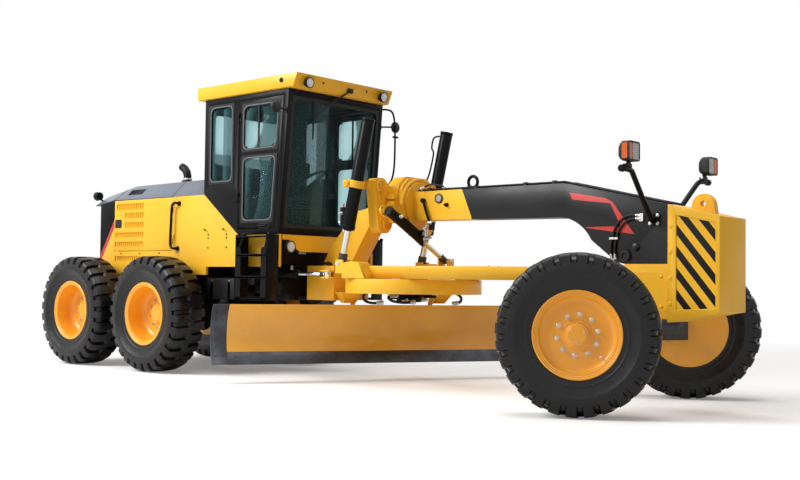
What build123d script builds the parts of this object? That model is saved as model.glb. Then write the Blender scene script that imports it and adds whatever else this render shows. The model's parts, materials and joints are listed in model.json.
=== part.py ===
"""Motor grader: rear body with cab and tandem drive, hinged front frame, drawbar, circle and blade.

X points forward, Y to the left and Z up. The origin lies on the floor under the middle of the machine.
Sizes are in millimetres.
"""
from build123d import *
import os
from math import cos, radians, sin, sqrt

os.makedirs("parts", exist_ok=True)

# ---------------------------------------------------------------- driving dimensions
front_axle_x = 3500.0
wheel_base = 6450.0
tandem_x = front_axle_x - wheel_base
tandem_spacing = 1540.0
rear_wheel_y = 1075.0
kingpin_y = 980.0
kingpin_offset = 80.0
steer_rest = 30.0

tyre_radius = 675.0
tyre_width = 450.0
wheel_sides = 20         # flats round a tyre and a rim
rim_radius = 318.0
flange_radius = 366.0
rim_wall = 12.0

tube_sides = 16      # flats round a bent tube or a small lamp

fit = 0.3            # gap between pieces that are fastened to each other
running_gap = 5.0    # gap between pieces that move past each other
pin_gap = 1.0        # gap round a pin or a rod

pivot_x = -640.0     # articulation axis
body_y = 750.0       # half width of the rear bodywork
hood_rear_x = -4030.0
hood_split_x = -3559.0
hood_door_x = -2345.0
hood_side_z = 2070.0
hood_bottom_z = 1135.0
panel_bottom_z = 1230.0

cab_rear_x = -1742.0
cab_front_x = -314.0
cab_foot_x = -441.0
cab_y = 758.0
cab_top_z = 3175.0
cab_floor_z = 1588.0
cab_post = 70.0
cab_wall = 40.0

boom_y = 125.0
ball = (3340.0, 0.0, 1120.0)
ball_radius = 55.0
ball_gap = 0.5
cup_edge = 5.0         # distance of the cup's lip ahead of the ball's centre
cup_outer = 85.0
turn_y = 470.0       # turning cylinders beside the articulation
turn_z = 1155.0
turn_base_x = 30.0
turn_top_x = -1120.0
turn_eye = 50.0
turn_ear = 20.0
boom_top_z = 2027.0
boom_bottom_z = 1730.0

lift_y = 640.0
circle_x = 850.0
circle_radius = 720.0
circle_top_z = 1110.0
circle_bottom_z = 960.0
blade_x = 312.0
blade_y = 7.0
blade_angle = 28.0
blade_length = 3600.0
blade_low_z = 200.0
blade_high_z = 830.0


# ---------------------------------------------------------------- shared forms
def write(piece, name):
    """Label a finished piece and write it under its node's name."""
    piece.label = name
    export_step(piece, f"parts/{name}.step")


def wheel_plane(x, y, side, steer=0.0):
    """Plane in the middle of a wheel whose normal is the axle's direction, outwards."""
    turn = radians(steer)
    outward = Vector(-sin(turn) * side, cos(turn) * side, 0)
    return Plane(origin=(x, y, tyre_radius), x_dir=(cos(turn), sin(turn), 0), z_dir=outward)


def along(start, end, distance=0.0):
    """Plane square to the line from start to end, at a distance from its start."""
    direction = (Vector(*end) - Vector(*start)).normalized()
    return Plane(origin=Vector(*start) + direction * distance, z_dir=direction)


# ---------------------------------------------------------------- wheels
bead_half = 175.0
wheel_half = tyre_width / 2
# distance from the middle plane and radius to the middle of a flat, from the bead outwards
tyre_side = [(bead_half, flange_radius + 4), (wheel_half, 515.0)]
tread_half = 188.0
slot_wide = 60.0     # round the tyre
slot_deep = 55.0
slot_start = 45.0    # from the middle plane
slot_floor = tyre_radius - slot_deep


def ring_form(stations):
    """Solid with plane walls through regular outlines, each given as height and radius to a flat."""
    reach = 1 / cos(radians(180 / wheel_sides))
    turns = [radians(360 * (side + 0.5) / wheel_sides) for side in range(wheel_sides)]
    rings = [[(r * reach * cos(turn), r * reach * sin(turn), z) for turn in turns] for z, r in stations]
    walls = [Face(Wire.make_polygon(rings[0])), Face(Wire.make_polygon(rings[-1]))]
    for low, high in zip(rings, rings[1:]):
        for side in range(wheel_sides):
            following = (side + 1) % wheel_sides
            corners = [low[side], low[following], high[following], high[side]]
            walls.append(Face(Wire.make_polygon(corners)))
    return Solid(Shell(walls))


far_side = [(-height, radius) for height, radius in tyre_side]
tread = [(-tread_half, tyre_radius), (tread_half, tyre_radius)]
carcass = ring_form(far_side + tread + tyre_side[::-1])
with BuildPart() as tyre_form:
    add(carcass)
    with BuildSketch(Plane.XY.offset(-wheel_half)):
        RegularPolygon(rim_radius + fit, wheel_sides, False, 180 / wheel_sides)
    extrude(amount=tyre_width, mode=Mode.SUBTRACT)
    for half, start in ((1, 0.0), (-1, 180.0 / wheel_sides)):
        with PolarLocations(slot_floor, wheel_sides, start_angle=start):
            with Locations((0, 0, half * slot_start)):
                Box(
                    2 * slot_deep, slot_wide, tyre_width,
                    align=(Align.MIN, Align.CENTER, Align.MIN if half > 0 else Align.MAX), mode=Mode.SUBTRACT,
                )

# distance of the disc from the wheel's middle plane, hub length and hub radius
rim_table = {
    "rear": (-45.0, 90.0, 110.0),
    "front": (125.0, 110.0, 95.0),
}
flange_thick = 15.0
disc_thick = 16.0
hub_stand = 55.0     # hub ahead of its disc
stub_radius = 60.0
stub_depth = 80.0
rim_forms = {}
for axle, (disc, hub_back, hub_radius) in rim_table.items():
    inner = rim_radius - rim_wall
    flange_face = bead_half + fit + flange_thick
    front_step = min(disc + 60, 145)
    dish = ring_form([(flange_face, inner + 7), (front_step, inner), (disc, 250)])
    back = ring_form([(disc - disc_thick, inner), (-flange_face, inner + 7)])
    with BuildPart() as rim:
        with BuildSketch(Plane.XY.offset(-flange_face)):
            RegularPolygon(rim_radius, wheel_sides, False, 180 / wheel_sides)
        extrude(amount=2 * flange_face)
        for half in (1, -1):
            with BuildSketch(Plane.XY.offset(half * (bead_half + fit))):
                RegularPolygon(flange_radius, wheel_sides, False, 180 / wheel_sides)
            extrude(amount=half * flange_thick)
        add(dish, mode=Mode.SUBTRACT)
        add(back, mode=Mode.SUBTRACT)
        with BuildSketch(Plane.XY.offset(disc - hub_back)):
            RegularPolygon(hub_radius, wheel_sides)
        extrude(amount=hub_back + hub_stand)
        with BuildSketch(Plane.XY.offset(disc - hub_back)):
            Circle(stub_radius + pin_gap)
        extrude(amount=stub_depth + pin_gap, mode=Mode.SUBTRACT)
    rim_forms[axle] = rim.part

# wheel, place along X, side of the machine
rear_wheels = [
    ("tandem_front_left", tandem_x + tandem_spacing / 2, 1),
    ("tandem_front_right", tandem_x + tandem_spacing / 2, -1),
    ("tandem_rear_left", tandem_x - tandem_spacing / 2, 1),
    ("tandem_rear_right", tandem_x - tandem_spacing / 2, -1),
]
for name, x, side in rear_wheels:
    place = wheel_plane(x, side * rear_wheel_y, side).location
    write(tyre_form.part.moved(place), f"tyre_{name}")
    write(rim_forms["rear"].moved(place), f"rim_{name}")


def front_wheel_plane(side):
    """Wheel plane beside its kingpin, turned with the steering."""
    hub = wheel_plane(front_axle_x, side * kingpin_y, side, steer_rest)
    return hub.offset(kingpin_offset)


for name, side in (("front_left", 1), ("front_right", -1)):
    place = front_wheel_plane(side).location
    write(tyre_form.part.moved(place), f"tyre_{name}")
    write(rim_forms["front"].moved(place), f"rim_{name}")


# ---------------------------------------------------------------- tandem drive
case_inner_y = 640.0
case_outer_y = rear_wheel_y - wheel_half - 15.0
case_z = tyre_radius
# axle casing between the cases: half length and radius of each stretch
axle_casing = [(case_inner_y, 150.0), (330.0, 195.0), (220.0, 245.0)]
casing_sides = 16

with BuildPart() as tandem_drive:
    for side in (1, -1):
        with BuildSketch(Plane.XZ.offset(-side * (case_inner_y + case_outer_y) / 2)):
            with Locations((tandem_x, case_z)):
                SlotCenterToCenter(tandem_spacing, 380)
            with Locations((tandem_x, case_z)):
                Rectangle(620, 460)
        extrude(amount=(case_outer_y - case_inner_y) / 2, both=True)
        for x in (tandem_x - tandem_spacing / 2, tandem_x + tandem_spacing / 2):
            hub_face = rear_wheel_y + rim_table["rear"][0] - rim_table["rear"][1]
            with BuildSketch(Plane.XZ.offset(-side * (case_outer_y - 5))):
                with Locations((x, case_z)):
                    Circle(stub_radius)
            extrude(amount=-side * (hub_face + stub_depth - case_outer_y + 5))
    for reach, radius in axle_casing:
        with BuildSketch(Plane.XZ.offset(-reach)):
            with Locations((tandem_x, case_z)):
                RegularPolygon(radius, casing_sides)
        extrude(amount=2 * reach)
    with Locations((tandem_x, 0, 860)):
        Box(360, 700, 140 - 2 * fit)
write(tandem_drive.part, "tandem_drive")


# ---------------------------------------------------------------- rear frame
rail_y = 380.0
front_rail_y = 320.0
rail_width = 110.0
rail_top_z = 1130.0
rail_bottom_z = 930.0
rear_rail_end_x = -4000.0
front_rail_end_x = pivot_x - 95.0
ear_radius = 120.0
ear_thickness = 50.0
hinge_top_z = 1190.0
hinge_bottom_z = 905.0
hinge_pin_radius = 45.0
tongue_radius = 85.0
cab_base_z = 1262.0

with BuildPart() as rear_frame:
    rail_middle_x = (rear_rail_end_x + front_rail_end_x) / 2
    rail_length = front_rail_end_x - rear_rail_end_x
    for side in (1, -1):
        with Locations((rail_middle_x, side * rail_y, (rail_top_z + rail_bottom_z) / 2)):
            Box(rail_length, rail_width, rail_top_z - rail_bottom_z)
    for x in (rear_rail_end_x + 60, tandem_x, -1900.0, front_rail_end_x - 60):
        with Locations((x, 0, (rail_top_z + rail_bottom_z) / 2)):
            Box(120, 2 * rail_y, rail_top_z - rail_bottom_z)
    with Locations((-2880, 0, rail_top_z - 15)):
        Box(2240, 2 * 705, 30)
    # pockets beside the ears for the turning cylinders, each with a pin under its barrel's end
    for side in (1, -1):
        with Locations((front_rail_end_x - 285, side * (front_rail_y + 100), turn_z)):
            Box(570 + 40, 200, 2 * 60, mode=Mode.SUBTRACT)
        with Locations((turn_top_x, side * turn_y, turn_z - 60)):
            Cylinder(30, 60 - 48 - fit, align=(Align.CENTER, Align.CENTER, Align.MIN))
            Box(120, 180, 70, align=(Align.CENTER, Align.CENTER, Align.MAX))
        for x, y in ((-1600.0, rail_y), (-1000.0, 270.0)):
            with Locations((x, side * y, rail_top_z - 5)):
                Cylinder(45, cab_base_z - rail_top_z - fit + 5, align=(Align.CENTER, Align.CENTER, Align.MIN))
    with Locations((-1000.0, 0, rail_top_z - 30)):
        Box(160, 2 * front_rail_y, 60)
    for z in (hinge_top_z + ear_thickness / 2, hinge_bottom_z - ear_thickness / 2):
        with BuildSketch(Plane.XY.offset(z - ear_thickness / 2)):
            with BuildLine():
                Polyline(
                    (front_rail_end_x - 200, front_rail_y), (front_rail_end_x, front_rail_y),
                    (front_rail_end_x, ear_radius + 60), (pivot_x, ear_radius),
                    (pivot_x, -ear_radius), (front_rail_end_x, -ear_radius - 60),
                    (front_rail_end_x, -front_rail_y), (front_rail_end_x - 200, -front_rail_y), close=True,
                )
            make_face()
            with Locations((pivot_x, 0)):
                Circle(ear_radius)
        extrude(amount=ear_thickness)
    hinge_cheeks = [
        (rail_top_z - 5, hinge_top_z - rail_top_z + 10),
        (hinge_bottom_z - 5, rail_bottom_z - hinge_bottom_z + 10),
    ]
    for z, height in hinge_cheeks:
        with Locations((front_rail_end_x - 100, 0, z + height / 2)):
            Box(200, 2 * front_rail_y, height)
    with Locations((pivot_x, 0, (hinge_top_z + hinge_bottom_z) / 2)):
        Cylinder(hinge_pin_radius, hinge_top_z - hinge_bottom_z + 2 * ear_thickness + 20)
    with Locations((rear_rail_end_x - 20, 0, 960)):
        Box(40, 1300, 2 * (rail_top_z - 960))
    with Locations((rear_rail_end_x - 100, 0, 860)):
        Box(140, 60, 120)
        Cylinder(22, 200, mode=Mode.SUBTRACT)
write(rear_frame.part, "rear_frame")

with BuildPart() as engine_block:
    with Locations((-3000, 0, rail_top_z + fit)):
        Box(1100, 680, 780, align=(Align.CENTER, Align.CENTER, Align.MIN))
write(engine_block.part, "engine_block")

with BuildPart() as side_tanks:
    for side in (1, -1):
        with Locations((-1445, side * (rail_y + rail_width / 2 + fit + 150), 1100 - fit)):
            Box(490, 300, 240, align=(Align.CENTER, Align.CENTER, Align.MAX))
write(side_tanks.part, "side_tanks")


def hinge_knuckles(x, face_y, side, heights, own):
    """Short upright barrels of a hinge on each of the heights, with leaves to their own piece."""
    for low in heights:
        with Locations((x, face_y + side * hinge_stand, low)):
            Cylinder(hinge_stand - fit, hinge_length, align=(Align.CENTER, Align.CENTER, Align.MIN))
        leaf = (Align.MIN if own > 0 else Align.MAX, Align.MIN if side > 0 else Align.MAX, Align.MIN)
        with Locations((x, face_y - side * leaf_sink, low)):
            Box(hinge_leaf, hinge_stand, hinge_length, align=leaf)


hinge_stand = 9.0      # from a panel's face to its hinge axis
hinge_length = 60.0
hinge_leaf = 34.0
leaf_sink = 2.0
hood_hinge_heights = (1500.0, 1880.0)
hood_door_low_z = 1420.0   # over the tyres
cab_hinge_heights = (1950.0, 2850.0)

# ---------------------------------------------------------------- hood
skin = 35.0
hood_top_rear_z = 2150.0
hood_top_split_z = 2224.0
hood_top_knee_z = 2260.0
hood_top_front_z = 2278.0
hood_top_knee_x = -3351.0
hood_edge = 12.0
edge_cut = 1.0
hood_rear_side_z = 2015.0
hood_front_x = cab_rear_x - fit
hood_top_y = 560.0
hood_top_rear_x = -3990.0
hood_bevel = 160.0
hood_rear_low_z = 1290.0
hood_rear_front_x = hood_split_x
hood_slant_z = 1829.0
hood_slant_x = -3899.0
grille_z = 1660.0
grille_wide = 900.0
grille_high = 540.0
rear_lamp_radius = 52.0
rear_lamp_deep = 56.0
rear_lamp_bracket = 13.0
rear_lamp_bends = [
    (-4010.0, 560.0, 1990.0), (-4010.0, 560.0, 2060.0), (-4078.0, 648.0, 2130.0), (-4078.0, 650.0, 2157.0),
]
exhaust_x = -2850.0
exhaust_y = -150.0
exhaust_foot = 75.0
exhaust_radius = 50.0
exhaust_wall = 5.0
exhaust_depth = 60.0
exhaust_collar = 180.0
# bends of the pipe above its collar: how far back and how far up
exhaust_bends = [(0.0, 60.0), (-18.0, 112.0), (-58.0, 155.0), (-118.0, 186.0)]
# cross-sections of the top: place, height of the edge and of the top
hood_top_sections = [
    (hood_top_rear_x, hood_rear_side_z + fit, hood_top_rear_z),
    (hood_split_x, hood_side_z + fit, hood_top_split_z),
    (hood_top_knee_x, hood_side_z + fit, hood_top_knee_z),
    (hood_front_x, hood_side_z + fit, hood_top_front_z),
]

with BuildPart() as hood_top:
    for stretch in zip(hood_top_sections, hood_top_sections[1:]):
        for grow, mode in ((0.0, Mode.ADD), (skin, Mode.SUBTRACT)):
            for x, edge, top in stretch:
                open_end = grow if x == hood_top_rear_x else 0.0
                with BuildSketch(Plane.YZ.offset(x + open_end)):
                    with BuildLine():
                        base = edge - (edge_cut if grow else 0.0)
                        Polyline(
                            (-body_y + grow, base), (-body_y + grow, edge + hood_edge),
                            (-hood_top_y + grow / 3, top - grow),
                            (hood_top_y - grow / 3, top - grow), (body_y - grow, edge + hood_edge),
                            (body_y - grow, base),
                            close=True,
                        )
                    make_face()
            loft(ruled=True, mode=mode)
    # passages for the exhaust pipe and the vents on the slopes
    with Locations((exhaust_x, exhaust_y, hood_top_front_z)):
        Cylinder(exhaust_foot + fit, 300, mode=Mode.SUBTRACT)
write(hood_top.part, "hood_top")

with BuildPart() as hood_rear:
    # rear shell, thick at its bevelled corners, cut to its slanting front and top
    with BuildSketch(Plane.XY.offset(hood_rear_low_z)):
        with BuildLine():
            Polyline(
                (hood_rear_front_x, body_y), (hood_rear_x + hood_bevel, body_y),
                (hood_rear_x, body_y - hood_bevel),
                (hood_rear_x, -body_y + hood_bevel), (hood_rear_x + hood_bevel, -body_y),
                (hood_rear_front_x, -body_y),
                (hood_rear_front_x, -body_y + skin), (hood_rear_x + hood_bevel + 15, -body_y + skin),
                (hood_rear_x + skin, -body_y + hood_bevel + 15),
                (hood_rear_x + skin, body_y - hood_bevel - 15),
                (hood_rear_x + hood_bevel + 15, body_y - skin), (hood_rear_front_x, body_y - skin),
                close=True,
            )
        make_face()
    extrude(amount=hood_side_z - hood_rear_low_z)
    with BuildSketch(Plane.XZ.offset(-body_y - 10)):
        with BuildLine():
            Polyline(
                (hood_rear_x - 50, hood_rear_side_z), (hood_top_rear_x, hood_rear_side_z),
                (hood_rear_front_x, hood_side_z), (hood_rear_front_x, 2300), (hood_rear_x - 50, 2300),
                close=True,
            )
        make_face()
        with BuildLine():
            Polyline(
                (hood_split_x - fit, 2300), (hood_split_x - fit, hood_slant_z),
                (hood_slant_x, hood_rear_low_z + 30),
                (hood_slant_x, 1100), (hood_rear_front_x + 60, 1100), (hood_rear_front_x + 60, 2300),
                close=True,
            )
        make_face()
    extrude(amount=2 * body_y + 20, mode=Mode.SUBTRACT)
    # rear deck under the top's end, grille opening and its slats
    with Locations(((hood_rear_x + hood_top_rear_x) / 2, 0, hood_rear_side_z)):
        deck = hood_top_rear_x - hood_rear_x - 2 * fit
        Box(deck, 2 * (body_y - hood_bevel), skin, align=(Align.CENTER, Align.CENTER, Align.MAX))
    with Locations((hood_rear_x, 0, grille_z)):
        Box(120, grille_wide, grille_high, mode=Mode.SUBTRACT)
    with Locations(*[(hood_rear_x + 18, 0, grille_z - grille_high / 2 + 30 + 62 * i) for i in range(9)]):
        Box(20, grille_wide + 4, 22)
    with Locations((hood_rear_x + 40, 0, rail_top_z + fit)):
        Box(80 - skin, 2 * (body_y - hood_bevel), 190, align=(Align.CENTER, Align.CENTER, Align.MIN))
    # work lamps on bent brackets over the rear corners
    for side in (1, -1):
        corners = [(x, side * y, z) for x, y, z in rear_lamp_bends]
        with BuildLine():
            bracket = Polyline(*corners)
        with BuildSketch(Plane(origin=corners[0], z_dir=(0, 0, 1))):
            RegularPolygon(rear_lamp_bracket, tube_sides)
        sweep(path=bracket, transition=Transition.RIGHT)
        with BuildSketch(Plane.YZ.offset(corners[-1][0])):
            with Locations(corners[-1][1:]):
                RegularPolygon(rear_lamp_radius, tube_sides)
        extrude(amount=rear_lamp_deep / 2, both=True)
write(hood_rear.part, "hood_rear")

louvre_deep = 14.0
louvre_blade = 12.0
louvre_pitch = 44.0
# rows of openings, each with its rear and front edge and its lower and upper edge
door_louvres = [
    (-3512.0, -2931.0, 1947.0, 2021.0), (-3327.0, -2931.0, 1836.0, 1904.0),
    (-3327.0, -2931.0, 1717.0, 1785.0),
    (-3532.0, -2931.0, 1598.0, 1660.0), (-3539.0, -2931.0, 1479.0, 1541.0),
]
panel_louvres = [(-3535.0, -2900.0, 1297.0, 1359.0)]


def louvre_rows(side, rows):
    """Sunk rows with upright blades in the outer face of a side panel."""
    face_y = side * body_y
    inwards = Align.MAX if side > 0 else Align.MIN
    for rear, front, low, high in rows:
        with Locations(((rear + front) / 2, face_y, (low + high) / 2)):
            place = (Align.CENTER, inwards, Align.CENTER)
            Box(front - rear, louvre_deep, high - low, align=place, mode=Mode.SUBTRACT)
        count = round((front - rear) / louvre_pitch)
        places = [rear + (front - rear) * step / count for step in range(1, count)]
        with Locations(*[(x, face_y - side * 2, (low + high) / 2) for x in places]):
            Box(louvre_blade, louvre_deep, high - low, align=place)


# left and right side: fixed panel and hinged door
for name, side in (("left", 1), ("right", -1)):
    outer = side * body_y
    with BuildPart() as hood_door:
        with BuildSketch(Plane.XZ.offset(-outer)):
            with Locations(((hood_split_x + hood_door_x) / 2, (hood_door_low_z + hood_side_z) / 2)):
                Rectangle(hood_door_x - hood_split_x - 10, hood_side_z - hood_door_low_z - 10)
        extrude(amount=side * skin)
        louvre_rows(side, door_louvres)
        hinge_knuckles(hood_door_x, outer, side, hood_hinge_heights, -1)
    write(hood_door.part, f"hood_door_{name}")

with BuildPart() as side_panels:
    for side in (1, -1):
        with BuildSketch(Plane.XZ.offset(-side * body_y)):
            with BuildLine():
                Polyline(
                    (hood_slant_x + 60, hood_bottom_z), (hood_slant_x + fit, hood_rear_low_z + 30),
                    (hood_split_x + fit, hood_slant_z), (hood_split_x + fit, hood_door_low_z),
                    (hood_door_x, hood_door_low_z),
                    (hood_door_x, hood_side_z), (cab_rear_x, hood_side_z),
                    (-1118, cab_floor_z), (cab_foot_x, cab_floor_z), (cab_foot_x, panel_bottom_z),
                    (-1690, panel_bottom_z), (-1690, hood_bottom_z), close=True,
                )
            make_face()
        extrude(amount=side * skin)
        louvre_rows(side, panel_louvres)
        panel_knuckles = [low + hinge_length + fit for low in hood_hinge_heights]
        hinge_knuckles(hood_door_x, side * body_y, side, panel_knuckles, 1)
write(side_panels.part, "side_panels")


# ---------------------------------------------------------------- cab
pillar_slope = (cab_front_x - cab_foot_x) / (cab_top_z - cab_floor_z)
diagonal_x = -1118.0
glass_thickness = 8.0
door_rear_x = -1130.0
door_low_z = 1650.0
door_high_z = cab_top_z - 65.0
door_window_x = -1070.0
door_window_inset = 125.0
# lower and upper edges of a door's windows
door_windows = [(door_high_z - 580, door_high_z - 50), (door_low_z + 80, door_low_z + 820)]
rear_side_window = (420.0, 900.0)
rear_side_window_place = (-1440.0, cab_top_z - 535)
rear_window_high = 640.0
rear_window_z = cab_top_z - 445
window_corner = 40.0
door_gap = 6.0
door_hinge_x = door_rear_x + door_gap / 2


def pillar_x(z, inset=0.0):
    """Place of the sloping front edge of the cab at a height, set back by an inset."""
    return cab_foot_x + pillar_slope * (z - cab_floor_z) - inset


def cab_outline(inset):
    """Side outline of the cab, offset inwards."""
    low = cab_floor_z + inset
    high = cab_top_z - inset
    rear = cab_rear_x + inset
    knee_z = hood_side_z + 5 + inset * 0.5
    knee_x = diagonal_x + inset * 0.5
    front_high, front_low = pillar_x(high, inset), pillar_x(low, inset)
    return [(rear, knee_z), (rear, high), (front_high, high), (front_low, low), (knee_x, low)]


def door_outline(grow=0.0):
    """Outline of a door opening, or of a door when grow is negative."""
    low, high = door_low_z - grow, door_high_z + grow
    rear = door_rear_x - grow
    return [(rear, high), (pillar_x(high, 70 - grow), high), (pillar_x(low, 70 - grow), low), (rear, low)]


def side_window(z_low, z_high, x_rear, front_inset):
    """Outline of a side window with its front edge along the sloping pillar."""
    return [
        (x_rear, z_high), (pillar_x(z_high, front_inset), z_high),
        (pillar_x(z_low, front_inset), z_low), (x_rear, z_low),
    ]


with BuildPart() as cab_frame:
    for inset, reach, mode in ((0.0, cab_y, Mode.ADD), (cab_wall, cab_y - cab_wall, Mode.SUBTRACT)):
        with BuildSketch(Plane.XZ.offset(-reach)):
            with BuildLine():
                Polyline(*cab_outline(inset), close=True)
            make_face()
        extrude(amount=2 * reach, mode=mode)
    # door openings and rear side windows
    with BuildSketch(Plane.XZ.offset(-cab_y - 10)):
        with BuildLine():
            Polyline(*door_outline(), close=True)
        make_face()
        with Locations(rear_side_window_place):
            RectangleRounded(*rear_side_window, window_corner)
    extrude(amount=2 * cab_y + 20, mode=Mode.SUBTRACT)
    # windscreen and rear window
    with BuildSketch(Plane.YZ.offset(-700)):
        with Locations((0, (cab_floor_z + cab_top_z) / 2)):
            RectangleRounded(2 * (cab_y - cab_post), cab_top_z - cab_floor_z - 150, 40)
    extrude(amount=600, mode=Mode.SUBTRACT)
    with BuildSketch(Plane.YZ.offset(cab_rear_x - 20)):
        with Locations((0, rear_window_z)):
            RectangleRounded(2 * (cab_y - cab_post - 40), rear_window_high, window_corner)
    extrude(amount=100, mode=Mode.SUBTRACT)
    frame_knuckles = [low + hinge_length + fit for low in cab_hinge_heights]
    for side in (1, -1):
        hinge_knuckles(door_hinge_x, side * cab_y, side, frame_knuckles, -1)
write(cab_frame.part, "cab_frame")

with BuildPart() as cab_glass:
    for side in (1, -1):
        with BuildSketch(Plane.XZ.offset(-side * (cab_y - 15))):
            with Locations(rear_side_window_place):
                RectangleRounded(*[size - 2 * fit for size in rear_side_window], window_corner)
        extrude(amount=side * glass_thickness)
    with BuildSketch(Plane.YZ.offset(cab_rear_x + 15)):
        with Locations((0, rear_window_z)):
            RectangleRounded(2 * (cab_y - cab_post - 40 - fit), rear_window_high - 2 * fit, window_corner)
    extrude(amount=glass_thickness)
    screen = Plane(
        origin=(pillar_x((cab_floor_z + cab_top_z) / 2, 20), 0, (cab_floor_z + cab_top_z) / 2),
        x_dir=(0, 1, 0), z_dir=(1, 0, -pillar_slope),
    )
    with BuildSketch(screen):
        RectangleRounded(2 * (cab_y - cab_post - fit), cab_top_z - cab_floor_z - 152, 40)
    extrude(amount=-glass_thickness)
write(cab_glass.part, "cab_glass")

for name, side in (("left", 1), ("right", -1)):
    with BuildPart() as cab_door:
        with BuildSketch(Plane.XZ.offset(-side * cab_y)):
            with BuildLine():
                Polyline(*door_outline(-door_gap), close=True)
            make_face()
            for low, high in door_windows:
                with BuildLine():
                    Polyline(*side_window(low, high, door_window_x, door_window_inset), close=True)
                make_face(mode=Mode.SUBTRACT)
        extrude(amount=side * cab_wall)
        hinge_knuckles(door_hinge_x, side * cab_y, side, cab_hinge_heights, 1)
    write(cab_door.part, f"cab_door_{name}")
    with BuildPart() as door_glass:
        with BuildSketch(Plane.XZ.offset(-side * (cab_y - 15))):
            for low, high in door_windows:
                with BuildLine():
                    pane = side_window(low + fit, high - fit, door_window_x + fit, door_window_inset + fit)
                    Polyline(*pane, close=True)
                make_face()
        extrude(amount=side * glass_thickness)
    write(door_glass.part, f"door_glass_{name}")

roof_rear_x = -1875.0
roof_front_x = -174.0
roof_y = 771.0
roof_top_z = cab_top_z + 154.0
roof_lamp_y = 598.0
roof_lamp_z = cab_top_z + 70.0
roof_lamp_radius = 40.0
with BuildPart() as cab_roof:
    with BuildSketch(Plane.XZ.offset(-roof_y)):
        with BuildLine():
            Polyline(
                (roof_rear_x, roof_top_z), (roof_front_x, roof_top_z), (roof_front_x - 60, cab_top_z + 10),
                (roof_front_x - 70, cab_top_z + fit), (roof_rear_x + 40, cab_top_z + fit),
                (roof_rear_x, cab_top_z + 20), close=True,
            )
        make_face()
    extrude(amount=2 * roof_y)
    for side in (1, -1):
        with Locations(Location((roof_front_x, side * roof_lamp_y, roof_lamp_z), (0, 90, 0))):
            Cylinder(roof_lamp_radius + fit, 160, mode=Mode.SUBTRACT)
write(cab_roof.part, "cab_roof")

with BuildPart() as cab_base:
    with Locations((-1090, 0, (cab_base_z + cab_floor_z) / 2)):
        Box(1298, 2 * (body_y - skin - fit), cab_floor_z - cab_base_z - 2 * fit)
    with Locations((cab_foot_x, 0, cab_base_z)):
        Box(220, 2000, 2 * 135, mode=Mode.SUBTRACT)
write(cab_base.part, "cab_base")

with BuildPart() as seat:
    with Locations((-930, 0, cab_floor_z + cab_wall + fit)):
        Box(300, 360, 260, align=(Align.CENTER, Align.CENTER, Align.MIN))
    with Locations((-980, 0, cab_floor_z + cab_wall + 260)):
        Box(500, 520, 130, align=(Align.CENTER, Align.CENTER, Align.MIN))
    with Locations((-1190, 0, cab_floor_z + cab_wall + 300)):
        Box(120, 500, 720, align=(Align.CENTER, Align.CENTER, Align.MIN))
write(seat.part, "seat")

with BuildPart() as console:
    with Locations((-620, 0, cab_floor_z + cab_wall + fit)):
        Box(160, 120, 560, align=(Align.CENTER, Align.CENTER, Align.MIN))
    with BuildSketch(Plane(origin=(-640, 0, 2230), z_dir=(-0.5, 0, 0.87))):
        Circle(190)
        Circle(165, mode=Mode.SUBTRACT)
        Rectangle(340, 30)
    extrude(amount=25)
    with BuildSketch(Plane(origin=(-640, 0, 2230), z_dir=(-0.5, 0, 0.87))):
        Circle(35)
    extrude(amount=-120)
write(console.part, "console")

with BuildPart() as exhaust:
    with BuildSketch(Plane.XY.offset(hood_top_front_z - 120)):
        with Locations((exhaust_x, exhaust_y)):
            RegularPolygon(exhaust_foot, tube_sides)
    extrude(amount=exhaust_collar)
    root = (exhaust_x, exhaust_y, hood_top_front_z - 120 + exhaust_collar)
    bends = [(exhaust_x + back, exhaust_y, root[2] + rise) for back, rise in exhaust_bends]
    with BuildLine():
        pipe = Polyline(root, *bends)
    with BuildSketch(Plane(origin=root, z_dir=(0, 0, 1))):
        RegularPolygon(exhaust_radius, tube_sides)
    sweep(path=pipe, transition=Transition.RIGHT)
    # open mouth of the pipe
    with BuildSketch(along(bends[-2], bends[-1], (Vector(*bends[-1]) - Vector(*bends[-2])).length)):
        RegularPolygon(exhaust_radius - exhaust_wall, tube_sides)
    extrude(amount=-exhaust_depth, mode=Mode.SUBTRACT)
write(exhaust.part, "exhaust")

with BuildPart() as steps:
    for side in (1, -1):
        for x in (-950, -450):
            with Locations((x, side * (body_y + 90), 1220)):
                Box(14, 180 - 2 * fit, 720)
        for z in (870, 1110, 1350, 1560):
            with Locations((-700, side * (body_y + 95), z)):
                Box(500, 170, 14)
write(steps.part, "steps")

mirror_root_x = -355.0
mirror_reach = 30.0
mirror_tube = 10.0
mirror_radius = 62.0
mirror_deep = 20.0
mirror_foot = 8.0
# side, place of the mirror's middle
mirror_table = [(-1, -300.0, -963.0, cab_top_z - 235), (1, -250.0, 905.0, cab_top_z - 253)]
with BuildPart() as mirrors:
    for side, x, y, z in mirror_table:
        with BuildSketch(Plane.YZ.offset(x)):
            with Locations((y, z)):
                Circle(mirror_radius)
        extrude(amount=mirror_deep)
        outer = side * (abs(y) - mirror_reach)
        root = (mirror_root_x, side * (cab_y + fit + mirror_foot), z)
        with Locations((mirror_root_x, side * (cab_y + fit + mirror_foot / 2), z)):
            Box(36, mirror_foot, 60)
        with BuildLine():
            arm = Polyline(root, (x + mirror_tube, outer, z))
        with BuildSketch(Plane(origin=root, z_dir=arm % 0)):
            Circle(mirror_tube)
        sweep(path=arm)
write(mirrors.part, "mirrors")

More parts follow.
